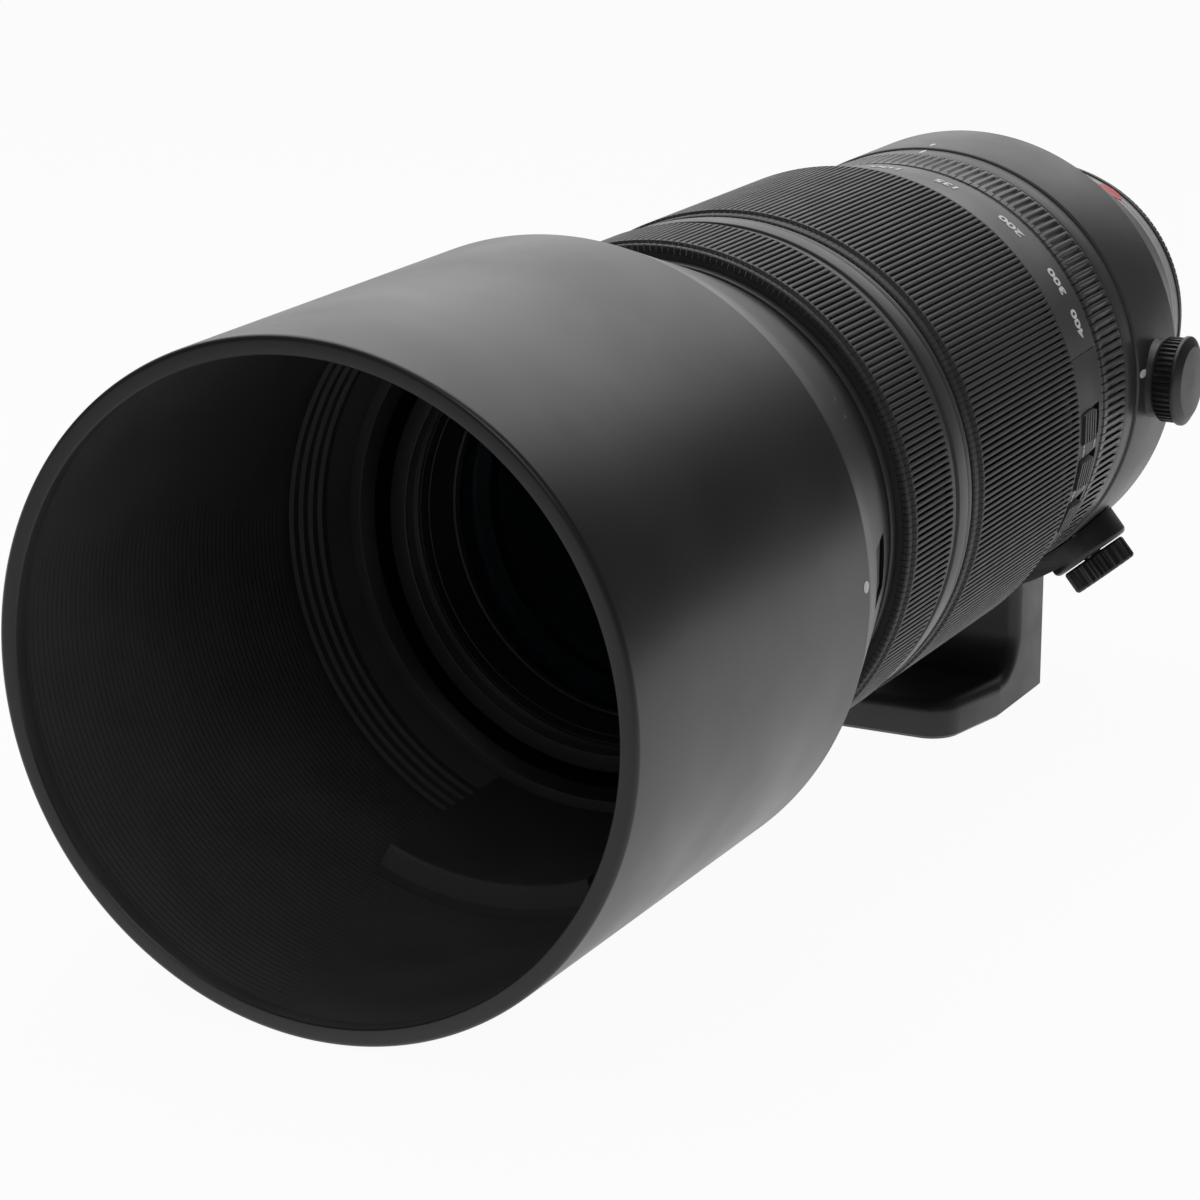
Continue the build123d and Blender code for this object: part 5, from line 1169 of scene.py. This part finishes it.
def fluted(name, profile, count, grooves, depth, land_share):
    """A knob turned about its own axis, its grooves cut along the part of its side inside a range."""
    piece = lathe(name, profile, 4 * count)
    pitch = 2 * pi / count
    outer = max(p[0] for p in profile)

    def in_groove(point):
        turn = Vector((1, 0)).angle_signed(Vector((point.x, point.y)), 0.0) % pitch
        radius = sqrt(point.x**2 + point.y**2) / mm
        return (
            land_share * pitch - 0.01 < turn < pitch - 0.01
            and grooves[0] < point.z / mm < grooves[1]
            and radius > grooves[2]
        )

    choose("VERT", in_groove)
    share = (outer - depth) / outer
    bpy.ops.transform.resize(value=(share, share, 1), center_override=(0, 0, 0))
    return piece


lock_knob = fluted(
    "lock_knob_body",
    [
        (0, 0),
        (waist_radius - 0.5, 0),
        (waist_radius, 0.4),
        (waist_radius, wall_bottom - 0.5),
        (wall_radius - 0.3, wall_bottom - 0.2),
        (wall_radius, wall_bottom + 0.2),
        (wall_radius, wall_top - 0.05),
    ],
    flute_count,
    (wall_bottom - 0.3, wall_top, wall_radius - 0.7),
    0.5,
    0.4,
)
close_up(40.0)
head_profile = fillet(
    (0.01, wall_top),
    (wall_radius - 0.6, wall_top),
    (head_radius, wall_top + 0.1, 0.15),
    (head_radius, wall_top + 0.9, 0.4),
    (head_radius - 1.9, knob_height - 0.4, 0.9),
    (0.01, knob_height),
)
head = lathe("lock_knob_head", [(p[0], p[1]) for p in head_profile], 120)
close_up()
lock_knob = join(lock_knob, head)
stand(lock_knob, 90.0, boss_y, knob_foot)
finish(lock_knob, knob_coat, "lock_knob", "barrel_black", "lock_knob")

# Foot knob: a thick wheel with wide teeth
foot_knob_clock = 140.4
foot_knob_y = -51.0
foot_knob_foot = 50.15
foot_knob_height = 4.8
foot_knob_radius = 7.05
foot_knob = fluted(
    "foot_knob_wheel",
    [(p[0], p[1]) for p in fillet(
        (0.01, 0),
        (foot_knob_radius - 0.9, 0),
        (foot_knob_radius, 0, 0.55),
        (foot_knob_radius, foot_knob_height, 0.7),
        (foot_knob_radius - 1.6, foot_knob_height),
        (foot_knob_radius - 2.0, foot_knob_height - 0.35),
        (0.01, foot_knob_height - 0.35),
    )],
    21,
    (-1.0, foot_knob_height + 1.0, foot_knob_radius - 0.75),
    0.62,
    0.5,
)
close_up(40.0)
stand(foot_knob, foot_knob_clock, foot_knob_y, foot_knob_foot)
finish(foot_knob, knob_coat, "foot_knob", "barrel_black", "foot_knob")

# Tripod foot: a smoothed copy of the frame's node
foot_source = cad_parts["tripod_foot"]
foot = bpy.data.objects.new("tripod_foot_cast", foot_source.data.copy())
bpy.context.scene.collection.objects.link(foot)
take(foot)
bpy.ops.object.mode_set(mode="EDIT")
select_whole()
bpy.ops.mesh.remove_doubles(threshold=merge_gap * mm)
bpy.ops.mesh.dissolve_limited(angle_limit=radians(1.0))
bpy.ops.object.mode_set(mode="OBJECT")
bevel_modifier(foot, 0.5, segments=3, angle=35.0)
finish(foot, foot_coat, "foot", "barrel_black", "tripod_foot")

# Rear cap: a knurled rim round a dished face
cap_radius = 31.0
cap_rib_count = 157
cap_rim_end = cap_front + 2.8
cap_back_radius = 27.4
cap_bore = 25.6
cap_dish_radius = 24.2
cap_dish_depth = 0.5
cap_wall = 2.0
cap_section = fillet(
    (cap_bore, cap_front),
    (cap_radius, cap_front, 0.3),
    (cap_radius, cap_front + 0.4),
    (cap_radius, cap_front + 0.6),
    (cap_radius, cap_rim_end - 0.6),
    (cap_radius, cap_rim_end - 0.4),
    (cap_radius, cap_rim_end, 0.3),
    (cap_bore, cap_rim_end),
)
rear_cap = ribbed(
    "rear_cap_knurled",
    cap_section,
    cap_rib_count,
    0.5,
    0.12,
    (cap_rim_end - 0.5, cap_front + 0.5),
    0.5,
)
close_up(40.0)
cap_back = turned(
    "rear_cap_back",
    fillet(
        (cap_bore - 0.2, cap_rim_end - 0.8),
        (cap_back_radius, cap_rim_end - 0.8),
        (cap_back_radius, cap_rear, 0.9),
        (cap_dish_radius, cap_rear, 0.3),
        (cap_dish_radius - 0.4, cap_rear - cap_dish_depth, 0.2),
        (0.01, cap_rear - cap_dish_depth),
        (0.01, cap_rear - cap_wall),
        (cap_bore - 0.2, cap_rear - cap_wall),
    ),
)
close_up()
rear_cap = join(rear_cap, cap_back)
finish(rear_cap, moulded, "rear_cap", "black_plastic", "rear_cap")


# Numbers and marks

print_height = 0.05
letter_boldness = 0.03


def lettering(name, text, height, width):
    """Flat letters of a given size at the origin, with their tops along +y, as a thin mesh."""
    deselect_all()
    bpy.ops.object.text_add()
    letters = bpy.context.object
    letters.name = name
    letters.data.body = text
    letters.data.align_x = "CENTER"
    letters.data.align_y = "CENTER"
    letters.data.resolution_u = 4
    letters.data.offset = letter_boldness
    letters.data.extrude = print_height * mm
    bpy.ops.object.convert(target="MESH")
    size = letters.dimensions
    letters.scale = (width * mm / size.x, height * mm / size.y, 1)
    fix_place()
    return letters


def disc(name, width, length):
    """A thin oval at the origin."""
    deselect_all()
    bpy.ops.mesh.primitive_cylinder_add(vertices=40, radius=mm / 2, depth=2 * print_height * mm)
    spot = bpy.context.object
    spot.name = name
    spot.scale = (width, length, 1)
    fix_place()
    return spot


def half_turn(piece):
    """Turn a flat piece so that its top points forwards."""
    take(piece)
    piece.matrix_world = Matrix.Rotation(pi, 4, "Z") @ piece.matrix_world
    fix_place()


numeral_y = -91.0
numeral_height = 2.9
for text, first_edge, last_edge in (
    ("100", -1.8, 5.8),
    ("135", 15.2, 20.9),
    ("200", 33.2, 40.9),
    ("300", 50.9, 58.3),
    ("400", 62.2, 69.6),
):
    wide = radians(last_edge - first_edge) * number_radius(numeral_y)
    numeral = lettering(f"numeral_{text}", text, numeral_height, wide)
    half_turn(numeral)
    wrap(numeral, (first_edge + last_edge) / 2, numeral_y, number_radius, print_height)
    finish(numeral, print_white, "barrel", "barrel_black")


def plain(radius):
    """The same radius all along."""
    return lambda y: radius


for slot_clock in slot_clocks:
    for word, word_y, word_width in (("ON", slot_rear - 2.2, 1.9), ("OFF", slot_front + 2.2, 2.5)):
        note = lettering(f"word_{word}_{slot_clock:.0f}", word, 1.15, word_width)
        half_turn(note)
        wrap(note, slot_clock + slot_half_turn + 1.75, word_y, panel_radius, print_height)
        finish(note, print_white, "barrel", "barrel_black")


for mark_name, wide, long, clock, y, radius_at, mark_body in (
    ("collar_mark", 1.6, 4.0, 86.5, -61.0, plain(collar_radius), "collar"),
    ("collar_index", 0.9, 2.4, -2.0, -60.4, plain(collar_radius), "collar"),
    ("band_mark", 0.8, 3.6, -1.5, -66.4, plain(rear_band_radius), "barrel"),
    ("hood_dot", 2.0, 2.0, 87.0, -225.0, plain(hood_radius), "hood"),
):
    mark = disc(mark_name, wide, long)
    wrap(mark, clock, y, radius_at, 0.0)
    finish(mark, print_white, mark_body, "barrel_black")

# Engraved ring on the hood's taper
ring_mark = lathe(
    "hood_ring_mark",
    [Vector(p) for p in ((1.65, -0.05), (2.0, -0.05), (2.0, 0.05), (1.65, 0.05), (1.65, -0.05))],
    48,
)
close_up()
wrap(ring_mark, 57.2, -205.0, hood_outside, 0.0)
finish(ring_mark, hood_lining, "hood", "black_plastic")

# Red mounting mark on the bright skirt
red_mark = disc("mount_mark", 5.6, 3.6)
wrap(red_mark, 31.0, -3.6, plain(skirt_radius), 0.08)
finish(red_mark, mark_red, "barrel", "barrel_black")


# Floor, light and camera

foot_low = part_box("tripod_foot")[0]
hood_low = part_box("hood")[0]
contact_rear = Vector((0, foot_low.y, foot_low.z))
contact_front = Vector((0, hood_mouth * mm, hood_low.z))
floor_tilt = asin((contact_rear.z - contact_front.z) / (contact_rear - contact_front).length)
floor_size = 16.0
deselect_all()
bpy.ops.mesh.primitive_plane_add(size=floor_size)
floor = bpy.context.object
floor.name = "floor"
floor.matrix_world = Matrix.Translation(contact_rear - Vector((0, 0, 0.0002))) @ Matrix.Rotation(
    floor_tilt, 4, "X"
)
fix_place()

def worked_out(tree, operation, first, second):
    """The product or the larger of two values, each a node's output or a number."""
    step = tree.nodes.new("ShaderNodeMath")
    step.operation = operation
    for value, socket in zip((first, second), step.inputs):
        if isinstance(value, float):
            socket.default_value = value
        else:
            tree.links.new(value, socket)
    return step.outputs["Value"]


def mixed_by(tree, share, plain_shader, other_shader):
    """A shader that turns from one to the other with a share."""
    mix = tree.nodes.new("ShaderNodeMixShader")
    tree.links.new(share, mix.inputs["Fac"])
    tree.links.new(plain_shader, mix.inputs[1])
    tree.links.new(other_shader, mix.inputs[2])
    return mix.outputs["Shader"]


# White floor: it also shines in reflections behind the lens's mouth
floor_white = (0.8, 0.8, 0.8)
floor_glow_share = 0.95
mirror_front = -0.55
mirror_rear = -0.3
floor_material, floor_tree, floor_shader = new_material("floor_white", floor_white, 0.9)
floor_path = floor_tree.nodes.new("ShaderNodeLightPath")
floor_point = floor_tree.nodes.new("ShaderNodeTexCoord").outputs["Object"]
floor_place = floor_tree.nodes.new("ShaderNodeSeparateXYZ")
floor_tree.links.new(floor_point, floor_place.inputs["Vector"])
floor_behind = spread_to(floor_tree, floor_place.outputs["Y"], 0.0, 1.0, mirror_front, mirror_rear)
floor_mirrored = worked_out(floor_tree, "MULTIPLY", floor_path.outputs["Is Glossy Ray"], floor_behind)
floor_seen = worked_out(floor_tree, "MAXIMUM", floor_path.outputs["Is Camera Ray"], floor_mirrored)
floor_share = worked_out(floor_tree, "MULTIPLY", floor_seen, floor_glow_share)
floor_surface = mixed_by(
    floor_tree,
    floor_share,
    floor_shader.outputs["BSDF"],
    floor_tree.nodes.new("ShaderNodeEmission").outputs["Emission"],
)
floor_tree.links.new(floor_surface, floor_tree.nodes["Material Output"].inputs["Surface"])
floor.data.materials.append(floor_material)

# Studio: dim room light, white paper behind, and a pale wall behind on the left in reflections
room_strength = 0.3
paper_strength = 1.0
wall_direction = Vector((-0.35, 0.72, 0.6)).normalized()
wall_edge = 0.68
wall_core = 0.93
wall_dim = 0.1
wall_bright = 1.5
world = bpy.data.worlds.new("studio")
bpy.context.scene.world = world
world.use_nodes = True
world_tree = world.node_tree


def backdrop(strength=1.0):
    """A plain white background shader."""
    glow = world_tree.nodes.new("ShaderNodeBackground")
    glow.inputs["Color"].default_value = (1, 1, 1, 1)
    glow.inputs["Strength"].default_value = strength
    return glow


wall_share = world_tree.nodes.new("ShaderNodeVectorMath")
wall_share.operation = "DOT_PRODUCT"
wall_share.inputs[1].default_value = wall_direction
sky_point = world_tree.nodes.new("ShaderNodeTexCoord").outputs["Generated"]
world_tree.links.new(sky_point, wall_share.inputs[0])
wall_level = spread_to(
    world_tree, wall_share.outputs["Value"], wall_dim, wall_bright, wall_edge, wall_core, "SMOOTHSTEP"
)
studio = backdrop()
world_tree.links.new(wall_level, studio.inputs["Strength"])
world_path = world_tree.nodes.new("ShaderNodeLightPath")
world_seen = worked_out(
    world_tree,
    "MAXIMUM",
    world_path.outputs["Is Camera Ray"],
    world_path.outputs["Is Transmission Ray"],
)
world_mirrored = mixed_by(
    world_tree,
    world_path.outputs["Is Glossy Ray"],
    backdrop(room_strength).outputs["Background"],
    studio.outputs["Background"],
)
world_surface = mixed_by(
    world_tree,
    world_seen,
    world_mirrored,
    backdrop(paper_strength).outputs["Background"],
)
world_tree.links.new(world_surface, world_tree.nodes["World Output"].inputs["Surface"])


def softbox(name, place, target, size, power):
    deselect_all()
    bpy.ops.object.light_add(type="AREA", location=place)
    lamp = bpy.context.object
    lamp.name = name
    lamp.data.shape = "SQUARE"
    lamp.data.size = size
    lamp.data.energy = power
    aim = Vector(target) - Vector(place)
    lamp.rotation_euler = aim.to_track_quat("-Z", "Y").to_euler()


middle = (0.0, -0.16, 0.0)
softbox("top_softbox", (-0.2, 0.0, 0.95), middle, 0.9, 4.4)
softbox("front_softbox", (0.35, -1.1, 0.95), middle, 0.5, 1.6)

scene = bpy.context.scene
scene.view_settings.view_transform = "Standard"

sensor_width = 36.0
focal_length = 117.22
camera_place = Vector((287.54, -781.21, 178.26)) * mm
camera_drop = 16.445
camera_turn = 26.757
deselect_all()
bpy.ops.object.camera_add(location=camera_place)
camera = bpy.context.object
camera.rotation_euler = (radians(90.0 - camera_drop), 0.0, radians(camera_turn))
camera.data.sensor_width = sensor_width
camera.data.lens = focal_length
camera.data.clip_start = 0.01
camera.data.clip_end = 20.0
scene.camera = camera
